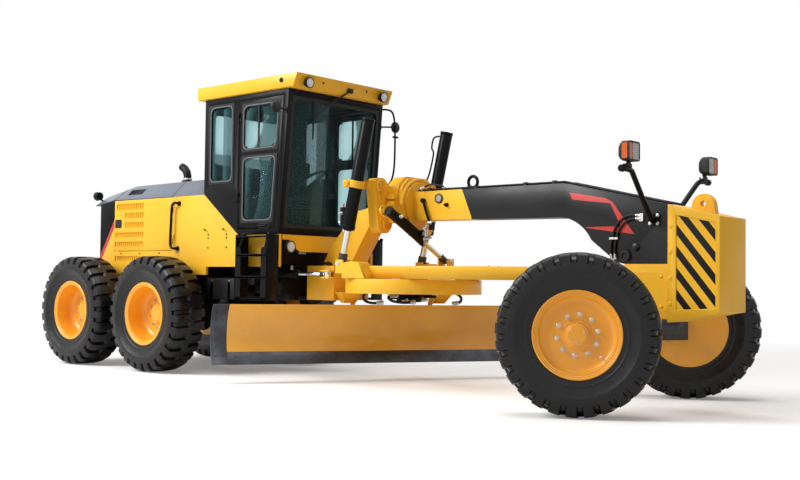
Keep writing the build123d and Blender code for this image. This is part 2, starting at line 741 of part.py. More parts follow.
base_lamp_y = 624.0
base_lamp_z = 1451.0
base_lamp_radius = 62.0
base_lamp_deep = 45.0
with BuildPart() as cab_lamps:
    for side in (1, -1):
        # lamp in the roof's front edge, lamp on the cab's foot
        with BuildSketch(Plane.YZ.offset(roof_front_x - 80 + fit)):
            with Locations((side * roof_lamp_y, roof_lamp_z)):
                RegularPolygon(roof_lamp_radius, tube_sides)
        extrude(amount=60)
        with BuildSketch(Plane.YZ.offset(cab_foot_x + fit)):
            with Locations((side * base_lamp_y, base_lamp_z)):
                RegularPolygon(base_lamp_radius, tube_sides)
        extrude(amount=base_lamp_deep)
write(cab_lamps.part, "cab_lamps")


# ---------------------------------------------------------------- front frame
base_y = 280.0
base_bottom_z = 870.0
base_top_z = 1250.0
leg_y = 200.0
leg_rear_x = 3437.0
leg_front_x = 3925.0
leg_bottom_z = 800.0
hanger_gap = 85.0
axle_z = 660.0

with BuildPart() as front_frame:
    with BuildSketch(Plane.XZ.offset(-boom_y)):
        with BuildLine():
            Polyline(
                (3356, 1289), (leg_rear_x, 1271), (leg_rear_x, leg_bottom_z), (leg_front_x, leg_bottom_z),
                (leg_front_x, 1776), (2789, boom_top_z), (520, boom_top_z),
            )
            RadiusArc((520, boom_top_z), (111, 1854), 560)
            Polyline(
                (111, 1854), (-276, 1452), (-400, base_top_z), (-400, 900), (-70, 900), (-70, 1200),
                (60, 1285), (85, 1338),
            )
            Polyline((85, 1338), (270, 1616), (325, 1700))
            RadiusArc((325, 1700), (420, boom_bottom_z + 5), 200)
            Line((420, boom_bottom_z + 5), (2770, 1708))
            RadiusArc((2770, 1708), (3095, 1490), 420)
            Line((3095, 1490), (3356, 1289))
        make_face()
    extrude(amount=2 * boom_y)
    # wide base behind the gooseneck and the tongue that goes between the rear frame's ears
    with Locations(((-480 - 60) / 2, 0, (base_bottom_z + base_top_z) / 2)):
        Box(420, 2 * base_y, base_top_z - base_bottom_z)
    for side in (1, -1):
        for z in (turn_z + turn_eye / 2 + pin_gap, turn_z - turn_eye / 2 - pin_gap - turn_ear):
            with BuildSketch(Plane.XY.offset(z)):
                with BuildLine():
                    Polyline(
                        (-340, side * (base_y - 20)), (-70, side * (base_y - 20)),
                        (turn_base_x + 55, side * (turn_y - 20)),
                        (turn_base_x + 55, side * (turn_y + 35)),
                        (turn_base_x - 40, side * (turn_y + 45)), close=True,
                    )
                make_face()
            extrude(amount=turn_ear)
    tongue_bottom = hinge_bottom_z + pin_gap
    tongue_top = hinge_top_z - pin_gap
    with BuildSketch(Plane.XY.offset(tongue_bottom)):
        with BuildLine():
            Polyline(
                (-400, 200), (pivot_x, tongue_radius), (pivot_x, -tongue_radius), (-400, -200), close=True,
            )
        make_face()
        with Locations((pivot_x, 0)):
            Circle(tongue_radius)
    extrude(amount=tongue_top - tongue_bottom)
    with Locations((pivot_x, 0, 1000)):
        Cylinder(hinge_pin_radius + pin_gap, 800, mode=Mode.SUBTRACT)
    # front leg and the hangers that hold the axle's pin
    with Locations(((leg_rear_x + leg_front_x) / 2, 0, (leg_bottom_z + 1260) / 2)):
        Box(leg_front_x - leg_rear_x, 2 * leg_y, 1260 - leg_bottom_z)
    for end in (-1, 1):
        with Locations((front_axle_x + end * (hanger_gap + 25), 0, axle_z - 40)):
            Box(50, 2 * leg_y, 230, align=(Align.CENTER, Align.CENTER, Align.MIN))
    with Locations(Location((front_axle_x, 0, axle_z), (0, 90, 0))):
        Cylinder(40, 2 * hanger_gap + 100)
    # socket for the drawbar's ball
    cup = ball_radius + ball_gap
    cup_lip = sqrt(cup**2 - cup_edge**2)
    cup_root = leg_rear_x - ball[0] + 5
    with BuildSketch(Plane(origin=ball, x_dir=(1, 0, 0), z_dir=(0, -1, 0))):
        with BuildLine():
            Polyline((cup_edge, cup_lip), (cup_edge, cup_outer), (cup_root, cup_outer), (cup_root, 0), (cup, 0))
            RadiusArc((cup, 0), (cup_edge, cup_lip), -cup)
        make_face()
    revolve(axis=Axis(ball, (1, 0, 0)))
write(front_frame.part, "front_frame")

nose_rear_x = leg_front_x + fit
nose_front_x = 4398.0
nose_y = 253.0
nose_sink = 8.0
with BuildPart() as nose_block:
    with BuildSketch(Plane.XZ.offset(-nose_y)):
        with BuildLine():
            Polyline(
                (nose_rear_x, 1782), (nose_front_x, 1665), (nose_front_x, 863), (nose_rear_x, 768),
                close=True,
            )
        make_face()
    extrude(amount=2 * nose_y)
    # sunk panel on each side
    for side in (1, -1):
        with BuildSketch(Plane.XZ.offset(-side * (nose_y - nose_sink))):
            with BuildLine():
                Polyline((4001, 1687), (4359, 1612), (4361, 898), (4005, 876), close=True)
            make_face()
        extrude(amount=-side * 2 * nose_sink, mode=Mode.SUBTRACT)
    with BuildSketch(Plane.XZ.offset(-30)):
        with Locations((4140, 1778)):
            Circle(100)
            Circle(45, mode=Mode.SUBTRACT)
        with Locations((4140, 1690)):
            Rectangle(200, 60)
    extrude(amount=60)
write(nose_block.part, "nose_block")

lamp_y = 730.0
lamp_x = 3815.0
lamp_z = 2195.0
lamp_rim = 12.0
lamp_sink = 14.0
post_radius = 22.0
post_x = 3800.0
post_y = boom_y + 25.0
# bends of a lamp's post: distance from the middle and height
post_bends = [
    (post_y, 1700.0), (post_y, 1800.0), (post_y + 60, 1880.0), (590.0, 2020.0), (650.0, 2060.0),
    (700.0, 2112.0),
]
with BuildPart() as headlamps:
    for side in (1, -1):
        # housing with a sunk front and a division between its two lamps
        with Locations((lamp_x, side * lamp_y, lamp_z)):
            Box(120, 190, 170)
        with Locations((lamp_x + 60, side * lamp_y, lamp_z)):
            Box(2 * lamp_sink, 190 - 2 * lamp_rim, 170 - 2 * lamp_rim, mode=Mode.SUBTRACT)
        with Locations((lamp_x + 60 - lamp_sink, side * (lamp_y + 25), lamp_z)):
            Box(lamp_sink, lamp_rim, 170 - 2 * lamp_rim, align=(Align.MIN, Align.CENTER, Align.CENTER))
        corners = [(post_x, side * y, z) for y, z in post_bends]
        with BuildLine():
            post = Polyline(*corners)
        with BuildSketch(Plane(origin=corners[0], z_dir=(0, 0, 1))):
            RegularPolygon(post_radius, tube_sides)
        sweep(path=post, transition=Transition.RIGHT)
        with Locations((post_x, side * (boom_y + 12), post_bends[0][1])):
            Box(90, 24 - 2 * fit, 120)
write(headlamps.part, "headlamps")

# ---------------------------------------------------------------- front axle, knuckles and tie rod
beam_end_radius = 58.0
beam_bottom_z = 565.0
beam_top_z = 755.0
king_pin_radius = 28.0
knuckle_ear = 40.0
arm_back = 135.0
arm_eye_radius = 32.0
tie_rod_radius = 22.0

with BuildPart() as front_axle:
    with BuildSketch(Plane.YZ.offset(front_axle_x - 50)):
        with BuildLine():
            Polyline(
                (-kingpin_y, beam_bottom_z), (-kingpin_y, beam_top_z), (-200, 770), (200, 770),
                (kingpin_y, beam_top_z), (kingpin_y, beam_bottom_z), (300, 580), (-300, 580), close=True,
            )
        make_face()
    extrude(amount=100)
    for side in (1, -1):
        with Locations((front_axle_x, side * kingpin_y, (beam_bottom_z + beam_top_z) / 2)):
            Cylinder(beam_end_radius, beam_top_z - beam_bottom_z)
        with Locations((front_axle_x, side * kingpin_y, (beam_bottom_z + beam_top_z) / 2)):
            Cylinder(king_pin_radius + pin_gap, 400, mode=Mode.SUBTRACT)
    with Locations(Location((front_axle_x, 0, axle_z), (0, 90, 0))):
        Cylinder(100, 110)
        Cylinder(50, 2 * hanger_gap - 2 * fit)
        Cylinder(40 + fit, 2 * hanger_gap + 20, mode=Mode.SUBTRACT)
write(front_axle.part, "front_axle")


def knuckle_plane(side):
    """Plane at the kingpin: x along the wheel's heading, y outwards and z up or down."""
    turn = radians(steer_rest)
    return Plane(
        origin=(front_axle_x, side * kingpin_y, 0), x_dir=(cos(turn), sin(turn), 0), z_dir=(0, 0, 1),
    )


for name, side in (("left", 1), ("right", -1)):
    ground = knuckle_plane(side)
    with BuildPart() as knuckle:
        for z in (beam_bottom_z - 5 - knuckle_ear, beam_top_z + 5):
            with BuildSketch(ground.offset(z)):
                Circle(62)
                with Locations((0, side * 45)):
                    Rectangle(124, 90)
            extrude(amount=knuckle_ear)
        with BuildSketch(ground.offset(beam_bottom_z - 5 - knuckle_ear)):
            with Locations((0, side * 78)):
                Rectangle(124, 24)
        extrude(amount=beam_top_z - beam_bottom_z + 10 + 2 * knuckle_ear)
        with BuildSketch(ground.offset(beam_bottom_z - 5 - knuckle_ear)):
            Circle(king_pin_radius)
        extrude(amount=beam_top_z - beam_bottom_z + 10 + 2 * knuckle_ear)
        with BuildSketch(ground.offset(beam_bottom_z - 5 - knuckle_ear)):
            with BuildLine():
                Polyline(
                    (0, side * 60), (-arm_back, side * arm_eye_radius), (-arm_back, -side * arm_eye_radius),
                    (0, -side * 55), close=True,
                )
            make_face()
            with Locations((-arm_back, 0)):
                Circle(arm_eye_radius)
        extrude(amount=knuckle_ear)
        spindle = Plane(
            origin=front_wheel_plane(side).origin, x_dir=front_wheel_plane(side).x_dir,
            z_dir=front_wheel_plane(side).z_dir,
        )
        spindle_start = 85 - kingpin_offset
        with BuildSketch(spindle.offset(spindle_start)):
            Circle(stub_radius)
        hub_inner = rim_table["front"][0] - rim_table["front"][1]
        extrude(amount=hub_inner + stub_depth - spindle_start)
    write(knuckle.part, f"knuckle_{name}")


def arm_end(side):
    """Centre of a steering arm's eye at rest."""
    turn = radians(steer_rest)
    return (front_axle_x - arm_back * cos(turn), side * kingpin_y - arm_back * sin(turn))


tie_low_z = beam_bottom_z - 5 + fit
with BuildPart() as tie_rod:
    ends = [(*arm_end(side), tie_low_z + tie_rod_radius) for side in (1, -1)]
    for end in ends:
        with BuildSketch(Plane.XY.offset(tie_low_z)):
            with Locations(end[:2]):
                Circle(arm_eye_radius)
        extrude(amount=2 * tie_rod_radius + 6)
    with BuildSketch(along(ends[0], ends[1])):
        Circle(tie_rod_radius)
    extrude(amount=(Vector(*ends[1]) - Vector(*ends[0])).length)
write(tie_rod.part, "tie_rod")

# ---------------------------------------------------------------- saddle on the boom
saddle_x = 860.0
saddle_z = 1885.0
casting_rear_x = 775.0
casting_front_x = 905.0
casting_y = 390.0
casting_z = 1930.0
casting_high = 530.0
casting_corner = 130.0
ring_radius = 255.0
ring_thick = 45.0
yoke_x = 640.0
yoke_thick = 75.0
yoke_pins = (1650.0, 2100.0)
yoke_pin_y = 350.0
trunnion = (590.0, lift_y, 2090.0)
lift_ball = (410.0, lift_y, 1265.0)
lift_barrel_radius = 68.0
lift_rod_radius = 36.0

with BuildPart() as saddle:
    # casting round the boom with a raised lock ring on its front
    with BuildSketch(Plane.YZ.offset(casting_rear_x)):
        with Locations((0, casting_z)):
            RectangleRounded(2 * casting_y, casting_high, casting_corner)
    extrude(amount=casting_front_x - casting_rear_x)
    with BuildSketch(Plane.YZ.offset(casting_front_x)):
        with Locations((0, saddle_z)):
            Circle(ring_radius)
    extrude(amount=ring_thick)
    with Locations((saddle_x, 0, (boom_top_z + boom_bottom_z) / 2)):
        Box(400, 2 * boom_y + 2 * fit, boom_top_z - boom_bottom_z + 14 + 2 * fit, mode=Mode.SUBTRACT)
    for side in (1, -1):
        # yoke plate, its two pin bosses and the link to the casting
        with BuildSketch(Plane.YZ.offset(yoke_x)):
            with BuildLine():
                Polyline(
                    (side * 230, 1640), (side * 250, 2110), (side * 290, 2165), (side * 420, 2165),
                    (side * 540, 2130), (side * 540, 2045), (side * 430, 1980), (side * 440, 1640),
                    (side * 400, 1590), (side * 290, 1585), close=True,
                )
            make_face()
        extrude(amount=yoke_thick)
        for z in yoke_pins:
            with BuildSketch(Plane.YZ.offset(yoke_x - 12)):
                with Locations((side * yoke_pin_y, z)):
                    Circle(62)
            extrude(amount=yoke_thick + 36)
        with Locations(((yoke_x + yoke_thick + casting_rear_x) / 2, side * 290, 1760)):
            Box(casting_rear_x - yoke_x - yoke_thick + 10, 110, 180)
        with Locations((trunnion[0] + 10, side * (lift_y - 92 - fit - 20), trunnion[2])):
            Box(140, 40, 80)
write(saddle.part, "saddle")

# ---------------------------------------------------------------- drawbar and circle
shift_x = 1010.0
shift_base_y = 330.0
shift_base_z = 1312.0
shift_ear_gap = 63.0     # room for the rod where its end swings off its pin
drawbar_top_z = 1240.0
drawbar_bottom_z = circle_top_z + running_gap
lift_ear_gap = 42.0

with BuildPart() as drawbar:
    with BuildSketch(Plane.XY.offset(drawbar_bottom_z)):
        with BuildLine():
            Polyline(
                (420, 590), (1500, 590), (2100, 330), (3180, 80), (3180, -80), (2100, -330),
                (1500, -590), (420, -590), close=True,
            )
        make_face()
    extrude(amount=drawbar_top_z - drawbar_bottom_z)
    with BuildSketch(Plane.XZ.offset(-35)):
        with BuildLine():
            Polyline((3150, 1235), (3310, 1150), (3310, 1090), (3150, 1120), close=True)
        make_face()
    extrude(amount=70)
    with Locations(ball):
        Sphere(ball_radius)
    for side in (1, -1):
        with Locations((565, side * 630, 1195)):
            Box(180, 150, 160)
        for ear in (-1, 1):
            with Locations((430, side * lift_y + ear * (lift_ear_gap + 10), 1235)):
                Box(100, 20, 140)
    for angle in (0, 50, 130, 230, 310):
        with Locations(Location((circle_x, 0, 0), (0, 0, angle))):
            with Locations((circle_radius - 65, 0, circle_top_z + fit)):
                Box(90, 120, 60, align=(Align.CENTER, Align.CENTER, Align.MIN))
    # ears for the rod that swings the drawbar
    for ear in (-1, 1):
        with Locations((shift_x + 10 + ear * shift_ear_gap, shift_base_y, drawbar_top_z + 30)):
            Box(20, 100, 130)
write(drawbar.part, "drawbar")

blade_frame = Plane(
    origin=(blade_x, blade_y, 0),
    x_dir=(cos(radians(blade_angle)), -sin(radians(blade_angle)), 0), z_dir=(0, 0, 1),
)
circle_local = blade_frame.to_local_coords(Vector(circle_x, 0, 0))
arm_spread = 460.0
pitch_x = -170.0
pitch_z = 330.0

with BuildPart() as circle:
    with BuildSketch(Plane.XY.offset(circle_bottom_z)):
        with Locations((circle_x, 0)):
            Circle(circle_radius)
            Circle(circle_radius - 130, mode=Mode.SUBTRACT)
    extrude(amount=circle_top_z - circle_bottom_z)
    for side in (1, -1):
        arm_plane = Plane(
            origin=blade_frame.from_local_coords(Vector(0, circle_local.Y + side * arm_spread, 0)),
            x_dir=blade_frame.x_dir, z_dir=-blade_frame.y_dir,
        )
        with BuildSketch(arm_plane.offset(-15)):
            with BuildLine():
                Polyline(
                    (40, circle_bottom_z + 5), (-110, circle_bottom_z + 5), (-205, 870), (-230, 420),
                    (-215, 290), (-132, 290), (-150, 400), (-168, 820), (0, 900), close=True,
                )
            make_face()
            with Locations((pitch_x, pitch_z)):
                Circle(30 + pin_gap, mode=Mode.SUBTRACT)
        extrude(amount=30)
write(circle.part, "circle")

# blade: curved moldboard with two slide rails on its back
mould_radius = 450.0
mould_centre = (390.0, 500.0)
mould_thickness = 22.0
mould_low_z = 330.0


def mould_x(z, offset=0.0):
    """Place of the moldboard's curved face in the blade's frame at a height."""
    return mould_centre[0] - sqrt((mould_radius + offset) ** 2 - (z - mould_centre[1]) ** 2)


blade_profile = Plane(origin=blade_frame.origin, x_dir=blade_frame.x_dir, z_dir=-blade_frame.y_dir)
half_blade = blade_length / 2
end_bit = 170.0
bit_low_z = blade_low_z + 5.0
bit_thickness = 26.0

blade_rails = (430.0, 680.0)
rail_deep = 60.0
claw_gap = 0.8


def rail_back(z):
    """Place of the rear face of the slide rail at a height, in the blade's frame."""
    return mould_x(z, mould_thickness) - 20 - rail_deep / 2


with BuildPart() as moldboard:
    with BuildSketch(blade_profile.offset(-half_blade + end_bit)):
        with BuildLine():
            front_low = (mould_x(mould_low_z), mould_low_z)
            front_high = (mould_x(blade_high_z), blade_high_z)
            back_low = (mould_x(mould_low_z, mould_thickness), mould_low_z)
            back_high = (mould_x(blade_high_z, mould_thickness), blade_high_z)
            RadiusArc(front_low, front_high, mould_radius)
            Line(front_high, back_high)
            RadiusArc(back_high, back_low, -mould_radius - mould_thickness)
            Line(back_low, front_low)
        make_face()
    extrude(amount=blade_length - 2 * end_bit)
    for z in blade_rails:
        with BuildSketch(blade_profile.offset(-half_blade + 300)):
            with Locations((mould_x(z, mould_thickness) - 20, z)):
                Rectangle(rail_deep, 50)
        extrude(amount=blade_length - 600)
write(moldboard.part, "moldboard")

with BuildPart() as cutting_edge:
    with BuildSketch(blade_profile.offset(-half_blade + end_bit + fit)):
        with BuildLine():
            Polyline(
                (mould_x(mould_low_z) - 22, mould_low_z - fit), (mould_x(mould_low_z), mould_low_z - fit),
                (40, blade_low_z), (18, blade_low_z), close=True,
            )
        make_face()
    extrude(amount=blade_length - 2 * end_bit - 2 * fit)
    for start in (-half_blade, half_blade - end_bit + fit):
        with BuildSketch(blade_profile.offset(start)):
            with BuildLine():
                front_low = (mould_x(bit_low_z), bit_low_z)
                back_low = (mould_x(bit_low_z, bit_thickness), bit_low_z)
                back_high = (mould_x(blade_high_z, bit_thickness), blade_high_z)
                RadiusArc(front_low, front_high, mould_radius)
                Line(front_high, back_high)
                RadiusArc(back_high, back_low, -mould_radius - bit_thickness)
                Line(back_low, front_low)
            make_face()
        extrude(amount=end_bit - fit)
write(cutting_edge.part, "cutting_edge")

with BuildPart() as blade_carrier:
    for side in (1, -1):
        middle = circle_local.Y + side * (arm_spread - 60)
        plate = blade_profile.offset(-(middle) - 15)
        with BuildSketch(plate):
            with BuildLine():
                Polyline(
                    (-205, 300), (-135, 300), (rail_back(430) - claw_gap, 400),
                    (rail_back(430) - claw_gap, 460),
                    (rail_back(680) - claw_gap, 650), (rail_back(680) - claw_gap, 710), (-205, 760),
                    close=True,
                )
            make_face()
        extrude(amount=30)
    with BuildSketch(blade_profile.offset(-(circle_local.Y + arm_spread + 20))):
        with Locations((pitch_x, pitch_z)):
            Circle(30)
    extrude(amount=2 * (arm_spread + 20))
write(blade_carrier.part, "blade_carrier")


# ---------------------------------------------------------------- hydraulic cylinders
def make_barrel(base, tip, start, end, radius, rod_radius, ring=None):
    """Barrel on the line from base to tip between two distances, open at its start for the rod."""
    with BuildPart() as barrel:
        with BuildSketch(along(base, tip, start)):
            Circle(radius)
        extrude(amount=end - start)
        with BuildSketch(along(base, tip, start)):
            Circle(rod_radius + pin_gap)
        extrude(amount=end - start - 40, mode=Mode.SUBTRACT)
        if ring:
            distance, ring_radius, ring_height = ring
            with BuildSketch(along(base, tip, distance - ring_height / 2)):
                Circle(ring_radius)
                Circle(radius - 2, mode=Mode.SUBTRACT)
            extrude(amount=ring_height)
    return barrel.part


def make_rod(base, tip, length, radius, eye_radius, eye_width, eye_axis):
    """Rod on the line from base to tip, with an eye round the base point."""
    with BuildPart() as rod:
        with BuildSketch(along(base, tip, eye_radius - 5)):
            Circle(radius)
        extrude(amount=length - eye_radius + 5)
        with BuildSketch(Plane(origin=base, z_dir=eye_axis)):
            Circle(eye_radius)
        extrude(amount=eye_width / 2, both=True)
    return rod.part


def mirrored(point, side):
    """Point on the chosen side of the machine."""
    return (point[0], side * point[1], point[2])


lift_top = (765.0, lift_y, 2755.0)
for name, side in (("left", 1), ("right", -1)):
    base, top = mirrored(lift_ball, side), mirrored(lift_top, side)
    barrel = make_barrel(base, top, 365, 1532, lift_barrel_radius, lift_rod_radius, ring=(848, 92, 70))
    write(barrel, f"lift_barrel_{name}")
    rod = make_rod(base, top, 1180, lift_rod_radius, 42, 2 * (lift_ear_gap - pin_gap), (0, 1, 0))
    write(rod, f"lift_rod_{name}")

shift_base = (shift_x, shift_base_y, shift_base_z)
shift_top = (shift_x, -590.0, 1805.0)
shift_length = (Vector(*shift_top) - Vector(*shift_base)).length
barrel = make_barrel(shift_base, shift_top, 400, shift_length, 50, 28)
write(barrel, "shift_barrel")
rod = make_rod(shift_base, shift_top, shift_length - 170, 28, 34, 30, (1, 0, 0))
write(rod, "shift_rod")

turn_base = (turn_base_x, turn_y, turn_z)
turn_top = (turn_top_x, turn_y, turn_z)
turn_length = turn_base_x - turn_top_x
for name, side in (("left", 1), ("right", -1)):
    base, top = mirrored(turn_base, side), mirrored(turn_top, side)
    barrel = make_barrel(base, top, 450, turn_length + 40, 48, 24)
    write(barrel, f"turn_barrel_{name}")
    rod = make_rod(base, top, turn_length - 260, 24, 36, turn_eye, (0, 0, 1))
    write(rod, f"turn_rod_{name}")
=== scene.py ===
# %% [markdown]
# A motor grader, dressed in Blender.
# A grader is a long frame bent in the middle. Its engine and four driving wheels are
# behind the bend, and a high arched frame with the steered axle is in front of it.
# Between them a wide blade hangs from a turning circle.
# The plain solids of the machine are loaded first, each as its own named object, in
# metres. Their shapes stay as they are. This lesson gives them their finishes and adds
# what is too fine for solids: tread, hoses, bolts, seals, lenses, seams and the seat.

# %% Load the machine
import json
import math

import bmesh
import bpy
from mathutils import Matrix, Vector

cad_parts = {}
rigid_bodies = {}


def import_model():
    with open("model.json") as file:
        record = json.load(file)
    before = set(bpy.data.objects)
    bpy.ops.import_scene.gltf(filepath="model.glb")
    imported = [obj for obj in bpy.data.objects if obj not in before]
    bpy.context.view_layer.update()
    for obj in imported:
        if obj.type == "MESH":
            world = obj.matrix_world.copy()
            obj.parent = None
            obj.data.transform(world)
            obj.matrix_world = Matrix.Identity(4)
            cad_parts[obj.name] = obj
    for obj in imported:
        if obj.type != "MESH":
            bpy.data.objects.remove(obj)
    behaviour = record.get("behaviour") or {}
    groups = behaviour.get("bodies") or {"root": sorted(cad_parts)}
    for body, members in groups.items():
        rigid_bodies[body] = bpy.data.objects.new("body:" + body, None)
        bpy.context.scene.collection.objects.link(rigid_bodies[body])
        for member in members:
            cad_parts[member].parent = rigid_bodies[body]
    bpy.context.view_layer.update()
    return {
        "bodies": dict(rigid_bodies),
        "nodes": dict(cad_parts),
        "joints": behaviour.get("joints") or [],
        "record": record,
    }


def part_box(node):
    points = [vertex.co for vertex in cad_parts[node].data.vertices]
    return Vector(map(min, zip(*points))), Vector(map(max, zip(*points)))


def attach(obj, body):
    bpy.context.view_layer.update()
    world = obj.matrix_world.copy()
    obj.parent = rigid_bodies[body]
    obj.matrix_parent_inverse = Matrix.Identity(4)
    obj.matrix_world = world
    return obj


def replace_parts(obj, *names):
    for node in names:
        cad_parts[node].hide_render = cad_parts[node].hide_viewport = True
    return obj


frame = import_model()
nodes = frame["nodes"]

# %% [markdown]
# The camera stands low, at the height of the wheel hubs, off the front right corner.
# A long lens keeps the frame from bending in the picture. The sensor's width belongs
# to the picture's long side, so lens and sensor fix the angle of view.

# %% Camera
CAMERA_PLACE = (8.401, -8.794, 1.091)
CAMERA_TURN = math.radians(41.894)
CAMERA_TILT = math.radians(2.035)
CAMERA_ROLL = math.radians(0.76)

camera_data = bpy.data.cameras.new("camera")
camera_data.lens = 49.2
camera_data.sensor_width = 36
camera_data.shift_x = 0.0122
camera_data.shift_y = 0.0027
camera_data.clip_start = 0.1
camera_data.clip_end = 400
camera = bpy.data.objects.new("camera", camera_data)
bpy.context.scene.collection.objects.link(camera)
aim = Matrix.Rotation(CAMERA_TURN, 4, "Z") @ Matrix.Rotation(math.pi / 2 + CAMERA_TILT, 4, "X")
camera.matrix_world = Matrix.Translation(CAMERA_PLACE) @ aim @ Matrix.Rotation(CAMERA_ROLL, 4, "Z")
bpy.context.scene.camera = camera
bpy.context.scene.view_settings.view_transform = "Standard"
print("camera:", [round(value, 2) for value in camera.matrix_world.translation])

# %% [markdown]
# Every finish below is a small tree of shader nodes. Writing each node out by hand
# takes many lines, so three helpers do it. One starts a material, one adds a node and
# joins it up in the same call, and one turns a paint chart's 0 to 255 values into the
# linear values that a renderer works with.

# %% Helpers for finishes
def paint_chart(red, green, blue):
    """Linear colour from the 0 to 255 values of a paint chart."""
    levels = [value / 255 for value in (red, green, blue)]
    linear = [v / 12.92 if v <= 0.04045 else ((v + 0.055) / 1.055) ** 2.4 for v in levels]
    return (*linear, 1.0)


def new_finish(name):
    """An empty material, with its shader and the nodes to build on."""
    finish = bpy.data.materials.new(name)
    finish.use_nodes = True
    tree = finish.node_tree
    return finish, tree, tree.nodes["Principled BSDF"]


def put(tree, kind, inputs=None, **settings):
    """Adds one node. A value goes on its socket, and another node's output is joined."""
    made = tree.nodes.new("ShaderNode" + kind)
    for name, value in settings.items():
        setattr(made, name, value)
    for name, value in (inputs or {}).items():
        if isinstance(value, bpy.types.NodeSocket):
            tree.links.new(value, made.inputs[name])
        else:
            made.inputs[name].default_value = value
    return made


def join(tree, output, socket):
    tree.links.new(output, socket)


def place(tree):
    """Where a point of the surface is on the machine, in metres."""
    return put(tree, "TexCoord").outputs["Object"]


def speckle(tree, scale, low, high, detail=4, stretch=(1, 1, 1), at=None):
    """Noise from 0 to 1 whose part between low and high is spread out."""
    where = put(tree, "Mapping", {"Vector": at or place(tree), "Scale": stretch})
    noise = put(tree, "TexNoise", {"Vector": where.outputs[0], "Scale": scale, "Detail": detail})
    spread = put(tree, "MapRange", {0: noise.outputs["Fac"], 1: low, 2: high})
    return spread.outputs[0]


def blend_colours(tree, amount, first, second):
    """The first colour where amount is 0 and the second where it is 1."""
    mix = put(tree, "Mix", data_type="RGBA")
    for socket, value in ((mix.inputs[0], amount), (mix.inputs[6], first), (mix.inputs[7], second)):
        if isinstance(value, bpy.types.NodeSocket):
            tree.links.new(value, socket)
        else:
            socket.default_value = value
    return mix.outputs[2]


def maths(tree, work, first, second=0.0, third=None):
    """One sum, product or comparison of two values."""
    made = put(tree, "Math", operation=work)
    for index, value in enumerate((first, second, third)):
        if isinstance(value, bpy.types.NodeSocket):
            tree.links.new(value, made.inputs[index])
        elif value is not None:
            made.inputs[index].default_value = value
    return made.outputs[0]


def roughen(tree, shader, height, strength, distance):
    """Small hills and hollows in the light on a surface."""
    bump = put(tree, "Bump", {"Height": height, "Strength": strength, "Distance": distance})
    join(tree, bump.outputs[0], shader.inputs["Normal"])


print("helpers are ready")

# %% [markdown]
# Machine enamel is sprayed thick over steel. It is never one even colour: the film is
# a little darker where it is thick, fine dust lies on it near the ground, and the
# surface has the faint dimples that painters call orange peel. One function makes
# every paint of the machine from these layers, so all of them age alike.

# %% Machine enamel
DUST = paint_chart(150, 138, 118)


def enamel(name, colour, shade, roughness, dust=0.25, dust_top=1.1, coat=0.35, pattern=None,
           gloss_level=0.5):
    """A sprayed paint. A pattern may paint marks over it before the dust."""
    finish, tree, shader = new_finish(name)
    shader.inputs["Specular IOR Level"].default_value = gloss_level
    cloud = speckle(tree, 1.3, 0.35, 0.7)
    layer = blend_colours(tree, cloud, colour, shade)
    if pattern:
        layer = pattern(tree, layer)
    height = put(tree, "SeparateXYZ", {0: place(tree)}).outputs["Z"]
    low_down = put(tree, "MapRange", {0: height, 1: dust_top, 2: 0.0, 3: 0.0, 4: 1.0}).outputs[0]
    grime = speckle(tree, 9, 0.42, 0.72, detail=8)
    film = maths(tree, "MULTIPLY", maths(tree, "MULTIPLY", low_down, grime), dust)
    join(tree, blend_colours(tree, film, layer, DUST), shader.inputs["Base Color"])
    gloss = put(tree, "MapRange", {0: speckle(tree, 5, 0.3, 0.75), 3: roughness, 4: roughness + 0.12})
    join(tree, gloss.outputs[0], shader.inputs["Roughness"])
    shader.inputs["Coat Weight"].default_value = coat
    shader.inputs["Coat Roughness"].default_value = 0.12
    roughen(tree, shader, speckle(tree, 260, 0.3, 0.7, detail=1), 0.06, 0.001)
    return finish


YELLOW = paint_chart(244, 188, 50)
YELLOW_SHADE = paint_chart(238, 178, 40)
BLACK = paint_chart(16, 16, 18)
BLACK_SHADE = paint_chart(12, 12, 14)
RED = paint_chart(196, 38, 34)
RED_SHADE = paint_chart(178, 30, 28)
yellow_paint = enamel("yellow_enamel", YELLOW, YELLOW_SHADE, 0.32, dust=0.12, coat=0.06, gloss_level=0.3)
black_paint = enamel("black_enamel", BLACK, BLACK_SHADE, 0.3, dust=0.012, coat=0.02, gloss_level=0.1)
CHASSIS = paint_chart(22, 22, 24)
chassis_paint = enamel("chassis_enamel", CHASSIS, BLACK_SHADE, 0.4, dust=0.1, coat=0.02, gloss_level=0.16)
rim_paint = enamel("rim_enamel", paint_chart(246, 170, 36), paint_chart(238, 158, 30), 0.33)
blade_paint = enamel("blade_enamel", paint_chart(240, 172, 48), paint_chart(228, 158, 40), 0.26, dust=0.15)
hood_grey = enamel("hood_enamel", paint_chart(92, 101, 115), paint_chart(84, 93, 108), 0.34, dust=0)
print("paints:", [finish.name for finish in (yellow_paint, black_paint, chassis_paint, rim_paint)])

# %% [markdown]
# Tyre rubber is a very dark grey. Moulds leave it slightly glossy on the sidewall, and
# dust settles in its grain. A fine noise bump keeps its highlights broken up.

